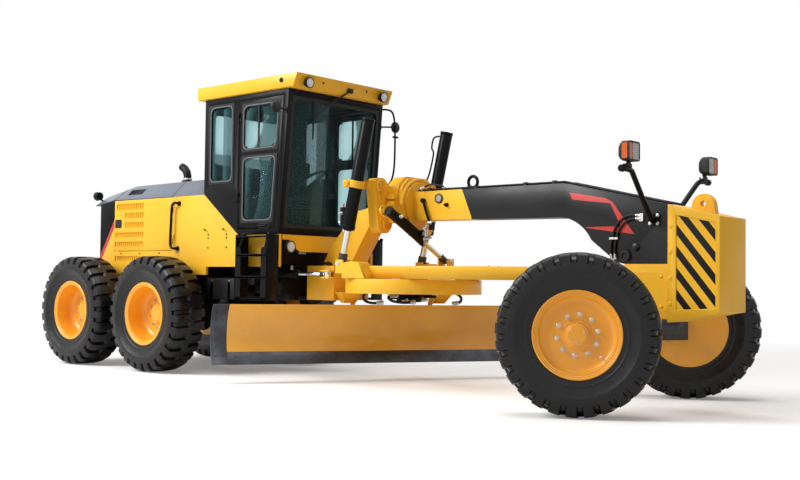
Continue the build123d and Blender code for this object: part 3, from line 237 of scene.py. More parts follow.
# %% Rubber, plastic and hose
def rubber(name, colour, roughness, grain, dust=0.2, gloss_level=0.3):
    """Moulded rubber or plastic with a fine grain and a trace of dust."""
    finish, tree, shader = new_finish(name)
    shader.inputs["Specular IOR Level"].default_value = gloss_level
    film = maths(tree, "MULTIPLY", speckle(tree, 14, 0.45, 0.8, detail=6), dust)
    join(tree, blend_colours(tree, film, colour, paint_chart(92, 86, 78)), shader.inputs["Base Color"])
    gloss = put(tree, "MapRange", {0: speckle(tree, 30, 0.3, 0.7), 3: roughness, 4: roughness + 0.15})
    join(tree, gloss.outputs[0], shader.inputs["Roughness"])
    roughen(tree, shader, speckle(tree, grain, 0.35, 0.65, detail=2), 0.2, 0.0012)
    return finish


tyre_rubber = rubber("tyre_rubber", paint_chart(14, 14, 16), 0.26, 420, dust=0.04, gloss_level=0.34)
hose_rubber = rubber("hose_rubber", paint_chart(20, 20, 21), 0.42, 900, dust=0.1)
black_plastic = rubber("black_plastic", paint_chart(24, 24, 25), 0.45, 700, dust=0.08)
print("rubber and plastic:", tyre_rubber.name, hose_rubber.name, black_plastic.name)

# %% [markdown]
# Bare metals take their colour from what they mirror. Rods are plated with hard chrome
# and are almost perfect mirrors, the wearing edge of the blade is rolled steel with
# mill scale and long scratches, and cast parts keep the grain of the sand mould.

# %% Bare metals
def bare_metal(name, colour, shade, roughness, scratch=0.0, grain=60, shine=1.0):
    """Metal whose scratches run along the machine."""
    finish, tree, shader = new_finish(name)
    stains = speckle(tree, 6, 0.35, 0.7, detail=8)
    join(tree, blend_colours(tree, stains, colour, shade), shader.inputs["Base Color"])
    shader.inputs["Metallic"].default_value = shine
    lines = speckle(tree, grain, 0.3, 0.7, stretch=(0.06, 1, 1.6))
    gloss = put(tree, "MapRange", {0: lines, 3: roughness, 4: roughness + 0.18})
    join(tree, gloss.outputs[0], shader.inputs["Roughness"])
    if scratch:
        roughen(tree, shader, lines, scratch, 0.001)
    return finish


chrome = bare_metal("rod_chrome", (0.78, 0.79, 0.8, 1), (0.7, 0.71, 0.72, 1), 0.05)
zinc = bare_metal("zinc_plate", (0.62, 0.61, 0.58, 1), (0.5, 0.49, 0.46, 1), 0.3, grain=200)
edge_steel = bare_metal("edge_steel", (0.09, 0.095, 0.105, 1), (0.05, 0.052, 0.06, 1), 0.36, scratch=0.35)
cast_iron = bare_metal("cast_iron", (0.06, 0.06, 0.062, 1), (0.035, 0.035, 0.037, 1), 0.5, 0.5, 300, 0.4)
print("metals:", chrome.name, zinc.name, edge_steel.name, cast_iron.name)

# %% [markdown]
# Cab glass is tinted green and laminated. Modelled as a solid pane, it needs no
# refraction at all to look right, so a thin mix of tinted see-through and mirror is
# enough, and light still comes into the cab through it. Lenses are real glass volumes.

# %% Glass, lenses and mirrors
def pane(name, tint, mirror, haze):
    """Thin tinted glass: the tint is what comes through, and the gloss lies over it."""
    finish, tree, shader = new_finish(name)
    film = speckle(tree, 3, 0.4, 0.9, detail=6)
    through = put(tree, "BsdfTransparent", {"Color": tint})
    shader.inputs["Base Color"].default_value = (0.08, 0.16, 0.17, 1)
    shader.inputs["Roughness"].default_value = 0.03
    shader.inputs["Specular IOR Level"].default_value = mirror
    body = put(tree, "MapRange", {0: film, 3: haze, 4: haze + 0.05})
    edge = put(tree, "LayerWeight", {"Blend": 0.2}).outputs["Fresnel"]
    share = maths(tree, "ADD", body.outputs[0], maths(tree, "MULTIPLY", edge, 0.7))
    mixed = put(tree, "MixShader", {0: share, 1: through.outputs[0], 2: shader.outputs[0]})
    join(tree, mixed.outputs[0], tree.nodes["Material Output"].inputs["Surface"])
    return finish


def lens(name, colour, weight, roughness=0.08):
    """A moulded lens with the small ribs that spread its light."""
    finish, tree, shader = new_finish(name)
    join(tree, blend_colours(tree, speckle(tree, 40, 0.4, 0.6), colour, colour),
         shader.inputs["Base Color"])
    shader.inputs["Transmission Weight"].default_value = weight
    shader.inputs["Roughness"].default_value = roughness
    ribs = put(tree, "TexWave", {"Vector": place(tree), "Scale": 45.0}, bands_direction="Y").outputs["Fac"]
    roughen(tree, shader, ribs, 0.12, 0.001)
    return finish


cab_glass = pane("cab_glass", (0.84, 0.94, 0.95, 1), 0.5, 0.03)
clear_lens = lens("clear_lens", (0.95, 0.96, 0.98, 1), 0.6)
amber_lens = lens("amber_lens", paint_chart(255, 112, 20), 0.35)
red_lens = lens("red_lens", paint_chart(190, 20, 16), 0.3)
mirror_glass = bare_metal("mirror_glass", (0.7, 0.74, 0.78, 1), (0.68, 0.72, 0.76, 1), 0.02)
print("glass:", cab_glass.name, clear_lens.name, amber_lens.name)

# %% [markdown]
# The stage is one pale floor and soft light. A large area lamp stands high on the
# right rear of the machine, so its sides are bright and its front faces fall into
# shade. The sky is white wherever a camera, a mirror or a window looks at it, and
# gives a weaker light to everything else.

# %% Floor, sky and lamps
floor_mesh = bpy.data.meshes.new("floor")
half_floor = 60.0
floor_corners = [(x, y, -0.001) for x, y in ((-1, -1), (1, -1), (1, 1), (-1, 1))]
floor_mesh.from_pydata([(x * half_floor, y * half_floor, z) for x, y, z in floor_corners], [],
                       [(0, 1, 2, 3)])
floor = bpy.data.objects.new("floor", floor_mesh)
bpy.context.scene.collection.objects.link(floor)

floor_finish, tree, shader = new_finish("pale_floor")
shader.inputs["Roughness"].default_value = 0.7
shader.inputs["Specular IOR Level"].default_value = 0.1
floor_tone = blend_colours(tree, speckle(tree, 0.6, 0.3, 0.7), (0.9, 0.9, 0.9, 1), (0.88, 0.88, 0.88, 1))
join(tree, floor_tone, shader.inputs["Base Color"])
# near the machine the floor shows its shade, and with distance it fades into the white sky
seen = put(tree, "LightPath")
direct = maths(tree, "MAXIMUM", seen.outputs["Is Camera Ray"], seen.outputs["Is Transmission Ray"])
from_middle = put(tree, "VectorMath", {0: place(tree)}, operation="LENGTH").outputs["Value"]
fade = put(tree, "MapRange", {0: from_middle, 1: 5.0, 2: 13.0}, interpolation_type="SMOOTHSTEP").outputs[0]
near_glow = put(tree, "Emission", {"Color": (1, 1, 1, 1), "Strength": 0.19})
far_glow = put(tree, "Emission", {"Color": (1, 1, 1, 1), "Strength": 1.0})
near = put(tree, "AddShader", {0: shader.outputs[0], 1: near_glow.outputs[0]})
both = put(tree, "MixShader", {0: fade, 1: near.outputs[0], 2: far_glow.outputs[0]})
floor_mix = put(tree, "MixShader", {0: direct, 1: shader.outputs[0], 2: both.outputs[0]})
join(tree, floor_mix.outputs[0], tree.nodes["Material Output"].inputs["Surface"])
floor_mesh.materials.append(floor_finish)

sky = bpy.data.worlds.new("sky")
bpy.context.scene.world = sky
sky.use_nodes = True
tree = sky.node_tree
seen = put(tree, "LightPath")
direct = maths(tree, "MAXIMUM", seen.outputs["Is Camera Ray"], seen.outputs["Is Glossy Ray"])
direct = maths(tree, "MAXIMUM", direct, seen.outputs["Is Transmission Ray"])
level = put(tree, "MapRange", {0: direct, 3: 0.27, 4: 1.0}).outputs[0]
join(tree, level, tree.nodes["Background"].inputs["Strength"])
# what lights the machine is a little warmer than what is seen, as over sunlit ground
warm = blend_colours(tree, direct, (1.0, 0.93, 0.85, 1), (1, 1, 1, 1))
join(tree, warm, tree.nodes["Background"].inputs["Color"])


def soft_lamp(name, place_at, look_at, size, power):
    """A square area lamp that faces a point."""
    lamp = bpy.data.lights.new(name, "AREA")
    lamp.size = size
    lamp.energy = power
    holder = bpy.data.objects.new(name, lamp)
    holder.location = place_at
    holder.rotation_euler = (Vector(look_at) - Vector(place_at)).to_track_quat("-Z", "Y").to_euler()
    bpy.context.scene.collection.objects.link(holder)


soft_lamp("key_lamp", (-7.0, -12.0, 11.0), (0, 0, 1), 8.0, 2750)
soft_lamp("top_lamp", (2.0, 0.0, 13.0), (0, 0, 0), 10.0, 900)
print("stage is set")

# %% [markdown]
# The two-colour paint of the machine follows straight lines: a black arch, red flags
# on it, and black slanting bars on the nose. Each mark is painted by arithmetic on
# the place of the point, so it stays sharp at any distance and needs no picture.
# A line divides the side of the machine in two, and its sign says on which side a
# point is. A shape is the product of the signs of its edges.

# %% Painting inside straight edges
def oblong(left, low, right, high):
    """The four corners of an upright rectangle, anticlockwise."""
    return [(left, low), (right, low), (right, high), (left, high)]


def across(tree, start, end):
    """1 on the left of the line from start to end, seen with x to the right and z up."""
    where = put(tree, "SeparateXYZ", {0: place(tree)})
    run_x, run_z = end[0] - start[0], end[1] - start[1]
    rise = maths(tree, "MULTIPLY", maths(tree, "SUBTRACT", where.outputs["Z"], start[1]), run_x)
    slide = maths(tree, "MULTIPLY", maths(tree, "SUBTRACT", where.outputs["X"], start[0]), run_z)
    return maths(tree, "GREATER_THAN", maths(tree, "SUBTRACT", rise, slide), 0.0)


def inside(tree, corners):
    """1 inside a convex outline whose corners run anticlockwise."""
    share = None
    for start, end in zip(corners, corners[1:] + corners[:1]):
        edge = across(tree, start, end)
        share = edge if share is None else maths(tree, "MULTIPLY", share, edge)
    return share


def any_of(tree, parts):
    share = parts[0]
    for part in parts[1:]:
        share = maths(tree, "MAXIMUM", share, part)
    return share


def flank(tree, low=0.6):
    """1 where the surface faces left or right."""
    normal = put(tree, "SeparateXYZ", {0: put(tree, "NewGeometry").outputs["Normal"]})
    return maths(tree, "GREATER_THAN", maths(tree, "ABSOLUTE", normal.outputs["Y"]), low)


# corners of each mark, along the machine and up, in metres
ARCH_YELLOW = [(-0.9, 0.5), (1.71, 1.4), (1.71, 1.741), (1.553, 2.1), (-0.9, 2.6)]
LEG_YELLOW = oblong(2.9, 0.4, 4.5, 1.271)
RED_FLAGS = [
    [(2.889, 1.869), (3.29, 1.82), (3.313, 1.833), (3.239, 1.868), (2.857, 1.938)],
    [(3.29, 1.82), (3.40, 1.61), (3.536, 1.533), (3.313, 1.833)],
    [(3.04, 1.597), (3.306, 1.565), (3.536, 1.533), (3.40, 1.61), (3.315, 1.61), (3.021, 1.639)],
]


def arch_marks(tree, layer):
    yellow = any_of(tree, [inside(tree, ARCH_YELLOW), inside(tree, LEG_YELLOW)])
    red = maths(tree, "MULTIPLY", any_of(tree, [inside(tree, flag) for flag in RED_FLAGS]), flank(tree))
    black = blend_colours(tree, red, layer, paint_chart(205, 66, 64))
    return blend_colours(tree, yellow, black, YELLOW)


NOSE_PANEL = [(4.005, 0.878), (4.360, 0.898), (4.360, 1.610), (4.005, 1.687)]
BAR_DROP = -1.21      # how far a bar falls for each metre forward
BAR_PITCH = 0.1835     # from one bar to the next, measured straight up
BAR_HIGH = 0.09


def nose_marks(tree, layer):
    where = put(tree, "SeparateXYZ", {0: place(tree)})
    fall = maths(tree, "MULTIPLY", maths(tree, "SUBTRACT", where.outputs["X"], 4.005), -BAR_DROP)
    level = maths(tree, "ADD", where.outputs["Z"], fall)
    step = maths(tree, "FRACT", maths(tree, "DIVIDE", maths(tree, "SUBTRACT", level, 0.9675), BAR_PITCH))
    bar = maths(tree, "LESS_THAN", step, BAR_HIGH / BAR_PITCH)
    share = maths(tree, "MULTIPLY", bar, maths(tree, "MULTIPLY", inside(tree, NOSE_PANEL), flank(tree)))
    return blend_colours(tree, share, layer, BLACK)


ARCH_BLACK = paint_chart(24, 25, 27)
arch_paint = enamel("arch_enamel", ARCH_BLACK, paint_chart(19, 20, 22), 0.32, dust=0.03, coat=0.05,
                    gloss_level=0.25, pattern=arch_marks)
nose_paint = enamel("nose_enamel", YELLOW, YELLOW_SHADE, 0.36, dust=0.06, coat=0.02, gloss_level=0.2,
                    pattern=nose_marks)
print("marks:", len(RED_FLAGS), "flags on the arch")

# %% [markdown]
# The solids come in with hard, razor-thin edges. A real edge is rounded by a few
# millimetres and catches a thin line of light. A weld step joins the loose corners,
# and a bevel step rounds each edge that turns by more than a set angle.

# %% Finish every solid
def dress(name, finish, edge=0.004, angle=32):
    """Gives a solid its finish, rounded edges and smooth curved walls."""
    solid = nodes[name]
    solid.data.materials.clear()
    solid.data.materials.append(finish)
    solid.data.polygons.foreach_set("use_smooth", [True] * len(solid.data.polygons))
    weld = solid.modifiers.new("join corners", "WELD")
    weld.merge_threshold = 0.00005
    if edge:
        rounding = solid.modifiers.new("rounded edges", "BEVEL")
        rounding.width = edge
        rounding.segments = 2
        rounding.limit_method = "ANGLE"
        rounding.angle_limit = math.radians(angle)
        rounding.harden_normals = True
        rounding.use_clamp_overlap = True


WHEELS = ["tandem_front_left", "tandem_front_right", "tandem_rear_left", "tandem_rear_right"]
WHEELS += ["front_left", "front_right"]
FINISHES = [
    (yellow_paint, 0.004, "blade_carrier drawbar circle saddle side_panels hood_door_left hood_door_right"),
    (yellow_paint, 0.006, "cab_roof"),
    (black_paint, 0.004, "cab_frame cab_door_left cab_door_right cab_base headlamps steps hood_rear"),
    (black_paint, 0.003,
     "lift_barrel_left lift_barrel_right shift_barrel turn_barrel_left turn_barrel_right"),
    (chassis_paint, 0.005, "rear_frame side_tanks tandem_drive exhaust mirrors"),
    (chrome, 0.002, "lift_rod_left lift_rod_right shift_rod turn_rod_left turn_rod_right"),
    (cast_iron, 0.005, "engine_block knuckle_left knuckle_right tie_rod"),
    (black_plastic, 0.003, "console cab_lamps seat"),
    (cab_glass, 0, "cab_glass door_glass_left door_glass_right"),
    (arch_paint, 0.005, "front_frame"), (nose_paint, 0.004, "nose_block"),
    (blade_paint, 0.003, "moldboard"),
    (edge_steel, 0.003, "cutting_edge"), (hood_grey, 0.006, "hood_top"), (cast_iron, 0.004, "front_axle"),
    (tyre_rubber, 0.004, " ".join("tyre_" + wheel for wheel in WHEELS)),
    (rim_paint, 0.002, " ".join("rim_" + wheel for wheel in WHEELS)),
]
for finish, edge, names in FINISHES:
    for name in names.split():
        dress(name, finish, edge)
bare = [name for name in nodes
        if not nodes[name].data.materials or nodes[name].data.materials[0].name == name]
print("solids without a finish of their own:", bare)

# %% [markdown]
# Pieces are built from lists of points. A shape gathers boxes, spun profiles, swept
# tubes, flat plates and bolts, and then becomes one object that rides on a body of the
# machine.

# %% Helpers for pieces
SIDES = (("left", 1), ("right", -1))


def seat_piece(name, points, faces, finish, body, smooth=40, edge=0.0):
    """A mesh piece that moves with one body of the machine."""
    mesh = bpy.data.meshes.new(name)
    mesh.from_pydata([tuple(point) for point in points], [], faces)
    mesh.validate()
    build = bmesh.new()
    build.from_mesh(mesh)
    bmesh.ops.recalc_face_normals(build, faces=build.faces)
    build.to_mesh(mesh)
    build.free()
    mesh.polygons.foreach_set("use_smooth", [True] * len(mesh.polygons))
    mesh.set_sharp_from_angle(angle=math.radians(smooth))
    mesh.materials.append(finish)
    piece = bpy.data.objects.new(name, mesh)
    bpy.context.scene.collection.objects.link(piece)
    if edge:
        rounding = piece.modifiers.new("rounded edges", "BEVEL")
        rounding.width = edge
        rounding.segments = 2
        rounding.limit_method = "ANGLE"
        rounding.angle_limit = math.radians(35)
        rounding.harden_normals = True
    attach(piece, body)
    return piece


class Shape:
    """Points and faces gathered from several simple forms before they become one piece."""

    def __init__(self):
        self.points, self.faces = [], []

    def add(self, points, faces, matrix=None):
        start = len(self.points)
        self.points += [matrix @ Vector(point) if matrix else Vector(point) for point in points]
        self.faces += [tuple(start + index for index in face) for face in faces]

    def block(self, middle, size, matrix=None):
        """A box given by its middle and its three sizes."""
        signs = [(x, y, z) for x in (-1, 1) for y in (-1, 1) for z in (-1, 1)]
        points = [[middle[i] + sign[i] * size[i] / 2 for i in range(3)] for sign in signs]
        self.add(points, [(0, 1, 3, 2), (4, 6, 7, 5), (0, 4, 5, 1), (2, 3, 7, 6), (0, 2, 6, 4),
                          (1, 5, 7, 3)], matrix)

    def spin(self, profile, matrix=None, sides=32, close=False):
        """A profile of radius and height turned round the matrix's z axis."""
        points, faces = [], []
        for side in range(sides):
            turn = 2 * math.pi * side / sides
            points += [(r * math.cos(turn), r * math.sin(turn), z) for r, z in profile]
        count = len(profile)
        last = count if close else count - 1
        for side in range(sides):
            here, there = side * count, (side + 1) % sides * count
            for i in range(last):
                j = (i + 1) % count
                faces.append((here + i, there + i, there + j, here + j))
        if not close:
            for i in (0, count - 1):
                faces.append(tuple(side * count + i for side in range(sides)))
        self.add(points, faces, matrix)

    def tube(self, path, radius, sides=12, matrix=None):
        """A round bar along points, with flat ends."""
        path = [Vector(point) for point in path]
        points, faces = [], []
        last = len(path) - 1
        tangents = [(path[min(i + 1, last)] - path[max(i - 1, 0)]).normalized() for i in range(len(path))]
        up = Vector((0, 0, 1)) if abs(tangents[0].z) < 0.9 else Vector((1, 0, 0))
        for point, tangent in zip(path, tangents):
            up = (up - tangent * up.dot(tangent)).normalized()
            out = tangent.cross(up)
            for side in range(sides):
                turn = 2 * math.pi * side / sides
                points.append(point + (up * math.cos(turn) + out * math.sin(turn)) * radius)
        for i in range(last):
            for side in range(sides):
                a, b = i * sides + side, i * sides + (side + 1) % sides
                faces.append((a, b, b + sides, a + sides))
        faces.append(tuple(range(sides)))
        faces.append(tuple(last * sides + side for side in range(sides)))
        self.add(points, faces, matrix)

    def slab(self, outline, low, high, matrix=None):
        """A flat plate with the given outline, between two heights of the matrix's z axis."""
        count = len(outline)
        points = [(u, v, height) for height in (low, high) for u, v in outline]
        sides = [(i, (i + 1) % count, (i + 1) % count + count, i + count) for i in range(count)]
        self.add(points, [tuple(reversed(range(count))), tuple(range(count, 2 * count))] + sides, matrix)

    def ring(self, outer, inner, low, high, matrix=None):
        """A flat ring between two outlines with equally many corners."""
        count = len(outer)
        loops = [(outer, low), (outer, high), (inner, high), (inner, low)]
        points = [(u, v, height) for outline, height in loops for u, v in outline]
        faces = []
        for loop in range(4):
            here, there = loop * count, (loop + 1) % 4 * count
            faces += [(here + i, here + (i + 1) % count, there + (i + 1) % count, there + i)
                      for i in range(count)]
        self.add(points, faces, matrix)

    def bolt(self, at, facing, radius=0.012, height=0.009):
        """A hexagon head on a washer, standing out along facing."""
        turn = Vector(facing).to_track_quat("Z", "Y").to_matrix().to_4x4()
        matrix = Matrix.Translation(at) @ turn
        self.spin([(radius * 1.45, -0.002), (radius * 1.45, 0.002), (radius * 1.3, 0.003)], matrix, 16)
        self.spin([(radius, 0.0), (radius, height * 0.85), (radius * 0.8, height)], matrix, 6)

    def bolt_ring(self, frame, circle, count, lift, radius, height, first=0.0):
        """Bolts spread evenly on a circle round the frame's z axis, facing along it."""
        facing = frame.to_3x3() @ Vector((0, 0, 1))
        for step in range(count):
            turn = math.radians(first + 360 / count * step)
            spot = frame @ Vector((circle * math.cos(turn), circle * math.sin(turn), lift))
            self.bolt(spot, facing, radius, height)

    def piece(self, name, finish, body, smooth=40, edge=0.0, slot=None):
        """The gathered shape as one object with its finish and body. The slot is not used."""
        made = seat_piece(name, self.points, self.faces, finish, body, smooth, edge)
        return made


def smooth_path(points, steps=8):
    """More points on the soft curve through a few points."""
    points = [Vector(point) for point in points]
    ends = [2 * points[0] - points[1]] + points + [2 * points[-1] - points[-2]]
    path = []
    for a, b, c, d in zip(ends, ends[1:], ends[2:], ends[3:]):
        for step in range(steps):
            t = step / steps
            bend, twist = 2 * a - 5 * b + 4 * c - d, 3 * b - a - 3 * c + d
            path.append(0.5 * (2 * b + (c - a) * t + bend * t * t + twist * t ** 3))
    return path + [points[-1]]


def flank_plane(side, y=0.0):
    """Plane on one side of the machine: x forward, y up and z outwards."""
    return Matrix(((1, 0, 0, 0), (0, 0, side, side * y), (0, 1, 0, 0), (0, 0, 0, 1)))


def cross_plane(x, facing=1):
    """Plane across the machine: x to the left side, y up and z forward, or back when facing is -1."""
    return Matrix(((0, 0, facing, x), (1, 0, 0, 0), (0, 1, 0, 0), (0, 0, 0, 1)))


def axis_frame(at, facing):
    """A frame at a point whose z axis looks along facing."""
    return Matrix.Translation(at) @ Vector(facing).to_track_quat("Z", "Y").to_matrix().to_4x4()


def rounded(corners, radius, steps=5):
    """The outline with its corners cut to soft curves."""
    outline = []
    for before, corner, after in zip(corners[-1:] + corners[:-1], corners, corners[1:] + corners[:1]):
        before, corner, after = Vector(before), Vector(corner), Vector(after)
        start = corner + (before - corner).normalized() * radius
        end = corner + (after - corner).normalized() * radius
        for step in range(steps + 1):
            t = step / steps
            outline.append((1 - t) ** 2 * start + 2 * t * (1 - t) * corner + t * t * end)
    return [tuple(point) for point in outline]


def grown(corners, distance):
    """The outline moved outwards by a distance, or inwards when it is negative. Anticlockwise."""
    moved = []
    for before, corner, after in zip(corners[-1:] + corners[:-1], corners, corners[1:] + corners[:1]):
        before, corner, after = Vector(before), Vector(corner), Vector(after)
        first, second = (corner - before).normalized(), (after - corner).normalized()
        out_first, out_second = Vector((first.y, -first.x)), Vector((second.y, -second.x))
        lean = out_first + out_second
        moved.append(tuple(corner + lean * distance / (1 + out_first.dot(out_second))))
    return moved


print("helpers for pieces are ready")

# %% [markdown]
# A grader's tyre is 1.35 m tall. Its tread is a ring of heavy blocks with narrow slots
# between them that run out over the shoulder. The plain solid has flat-sided slots and
# few facets, so it is replaced here. The new tyre is one grid: rows follow the section
# from the tread to the bead, and columns go round. Where a column lies in a slot, its
# rows are pushed in. The slots of the two sides are half a pitch apart.

# %% One tyre, used six times
TYRE_SLOTS = 28
COLUMNS = 12           # columns of the grid in one pitch of the slots
# half width, radius and depth of a slot there, from the middle of the tread to the bead
TYRE_SECTION = [
    (0.0, 0.6735, 0.0), (0.018, 0.6735, 0.0), (0.03, 0.674, 0.3), (0.045, 0.674, 1.0),
    (0.10, 0.6728, 1.0), (0.15, 0.669, 1.0), (0.180, 0.661, 1.0), (0.194, 0.652, 1.0),
    (0.203, 0.636, 1.0), (0.209, 0.612, 1.0), (0.213, 0.592, 0.9), (0.215, 0.582, 0.35),
    (0.217, 0.576, 0.0), (0.2205, 0.56, 0.0), (0.2235, 0.535, 0.0), (0.2245, 0.515, 0.0),
    (0.2245, 0.507, 0.0), (0.2215, 0.501, 0.0), (0.2165, 0.492, 0.0), (0.206, 0.466, 0.0),
    (0.197, 0.444, 0.0), (0.193, 0.428, 0.0), (0.1955, 0.421, 0.0), (0.1955, 0.412, 0.0),
    (0.191, 0.405, 0.0), (0.187, 0.388, 0.0), (0.186, 0.371, 0.0), (0.181, 0.366, 0.0),
    (0.1756, 0.36, 0.0), (0.1756, 0.3195, 0.0),
]
SLOT_DEPTH = 0.034
SLOT_COLUMNS = {0: 0.0, 1: 1.0, 2: 1.0, 3: 1.0, 4: 1.0, 5: 0.0}


def tyre_mesh():
    ring = TYRE_SLOTS * COLUMNS
    rows = [(-y, r, depth, -1) for y, r, depth in TYRE_SECTION[:0:-1]]
    rows += [(y, r, depth, 1) for y, r, depth in TYRE_SECTION]
    points, faces = [], []
    for column in range(ring):
        for y, r, depth, half in rows:
            shift = 0 if half > 0 else COLUMNS // 2
            push = SLOT_COLUMNS.get((column + shift) % COLUMNS, 0.0) * depth * SLOT_DEPTH
            lean = 0.05 * max(0.0, 0.14 - abs(y)) * 4
            turn = 2 * math.pi * column / ring + lean * half
            inwards = min(1.0, abs(y) / 0.2)
            side_push = push * inwards * 0.55
            flat = math.copysign(max(0.0, abs(y) - side_push), y)
            reach = r - push * (1.0 if abs(y) < 0.195 else 0.75)
            points.append((reach * math.cos(turn), reach * math.sin(turn), flat))
    count = len(rows)
    for column in range(ring):
        here, there = column * count, (column + 1) % ring * count
        faces += [(here + i, there + i, there + i + 1, here + i + 1) for i in range(count - 1)]
        faces.append((here, here + count - 1, there + count - 1, there))
    return points, faces


tyre_points, tyre_faces = tyre_mesh()
print("tyre:", len(tyre_points), "points,", len(tyre_faces), "faces")

# %% [markdown]
# Each wheel stands where its solid stands. The place of a wheel is the middle of its
# tyre's box. The front wheels are parked turned to the left, by the angle at which
# their solids stand.

# %% Set the tyres
STEERED = math.radians(30)


def wheel_frame(wheel):
    """The wheel's middle, with z outwards along its axle and y up."""
    low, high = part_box("tyre_" + wheel)
    side = 1 if wheel.endswith("left") else -1
    turn = STEERED if wheel.startswith("front") else 0.0
    outward = Vector((-math.sin(turn) * side, math.cos(turn) * side, 0))
    up = Vector((0, 0, 1))
    axes = Matrix([up.cross(outward), up, outward]).transposed().to_4x4()
    return Matrix.Translation((low + high) / 2) @ axes


for wheel in WHEELS:
    shape = Shape()
    shape.add(tyre_points, tyre_faces, wheel_frame(wheel))
    tyre = shape.piece("tread_" + wheel, tyre_rubber, "wheel_" + wheel, smooth=28)
    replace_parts(tyre, "tyre_" + wheel)
print("tyres set:", len(WHEELS))

# %% [markdown]
# The rim is pressed and rolled steel: a lock ring, a deep dish and a thick disc that
# is bolted to the hub. It is spun from one profile, because every rim is turned on a
# lathe. The front disc sits near the outside and the rear one deep in the dish.

# %% Rims, hubs and wheel nuts
# radius and distance outwards from the wheel's middle plane
LIP = [(0.3185, -0.19), (0.345, -0.19), (0.366, -0.186), (0.366, -0.1758), (0.318, -0.1758),
       (0.318, 0.1758), (0.358, 0.1758), (0.3655, 0.179), (0.3655, 0.186), (0.361, 0.1902),
       (0.352, 0.1902), (0.347, 0.185), (0.338, 0.184), (0.333, 0.176), (0.324, 0.172), (0.316, 0.165)]
FRONT_DISH = [(0.309, 0.150), (0.300, 0.140), (0.285, 0.131), (0.268, 0.127), (0.250, 0.126),
              (0.128, 0.126), (0.122, 0.129), (0.119, 0.134), (0.099, 0.138), (0.096, 0.142),
              (0.095, 0.168), (0.090, 0.172), (0.078, 0.173), (0.074, 0.176), (0.073, 0.1795),
              (0.0, 0.1805)]
FRONT_BACK = [(0.0, 0.02), (0.06, 0.02), (0.06, 0.096), (0.094, 0.1), (0.25, 0.108), (0.29, 0.115),
              (0.306, 0.125), (0.306, -0.17)]
REAR_DISH = [(0.308, 0.12), (0.305, 0.04), (0.300, 0.012), (0.288, -0.015), (0.270, -0.035),
             (0.250, -0.043), (0.150, -0.0445), (0.120, -0.043), (0.112, -0.038), (0.1105, -0.030),
             (0.109, -0.004), (0.104, 0.001), (0.088, 0.002), (0.084, 0.006), (0.082, 0.0095),
             (0.0, 0.0098)]
REAR_BACK = [(0.0, -0.134), (0.06, -0.134), (0.061, -0.062), (0.25, -0.062), (0.29, -0.045), (0.304, -0.02),
             (0.306, -0.16)]
NUT_CIRCLE = 0.1675
NUTS = 10

for wheel in WHEELS:
    steered = wheel.startswith("front")
    dish, back, face = (FRONT_DISH, FRONT_BACK, 0.126) if steered else (REAR_DISH, REAR_BACK, -0.0445)
    stand = wheel_frame(wheel)
    body = "wheel_" + wheel
    rim = Shape()
    rim.spin(LIP + dish + back, stand, 96)
    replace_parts(rim.piece("dish_" + wheel, rim_paint, body, smooth=35), "rim_" + wheel)
    nuts = Shape()
    for nut in range(NUTS):
        turn = 2 * math.pi * (nut + 0.3) / NUTS
        spot = (NUT_CIRCLE * math.cos(turn), NUT_CIRCLE * math.sin(turn), face)
        here = stand @ Matrix.Translation(spot)
        nuts.spin([(0.020, 0.0), (0.020, 0.003), (0.0185, 0.004)], here, 20)
        nuts.spin([(0.0155, 0.003), (0.0155, 0.019), (0.013, 0.022), (0.009, 0.022), (0.009, 0.030),
                   (0.007, 0.032)], here, 6)
    nuts.piece("nuts_" + wheel, zinc, body, smooth=30)
    valve = Shape()
    lean = stand @ Matrix.Rotation(-0.75, 4, "Z")
    valve.tube([lean @ Vector(p) for p in ((0.262, 0, face), (0.264, 0, face + 0.02),
                                           (0.272, 0, face + 0.045))], 0.005, 10)
    valve.spin([(0.011, face - 0.001), (0.011, face + 0.004), (0.008, face + 0.006)],
               lean @ Matrix.Translation((0.262, 0, 0)), 12)
    hub_face = 0.1803 if steered else 0.0096
    for turn in (0.4, 2.5, 4.6):
        plug = stand @ Matrix.Rotation(turn, 4, "Z") @ Matrix.Translation((0.058, 0, hub_face))
        valve.spin([(0.006, -0.001), (0.006, 0.004), (0.004, 0.005)], plug, 6)
    valve.piece("valve_" + wheel, zinc, body, smooth=30)
print("rims, nuts and valves:", len(WHEELS))

# %% [markdown]
# The hood is a folded steel box with hinged side doors. What makes it read as a real
# hood is its small hardware. There is a bent grab bar beside each door, a latch plate,
# a row of small fixings and a red stripe at the black tail.

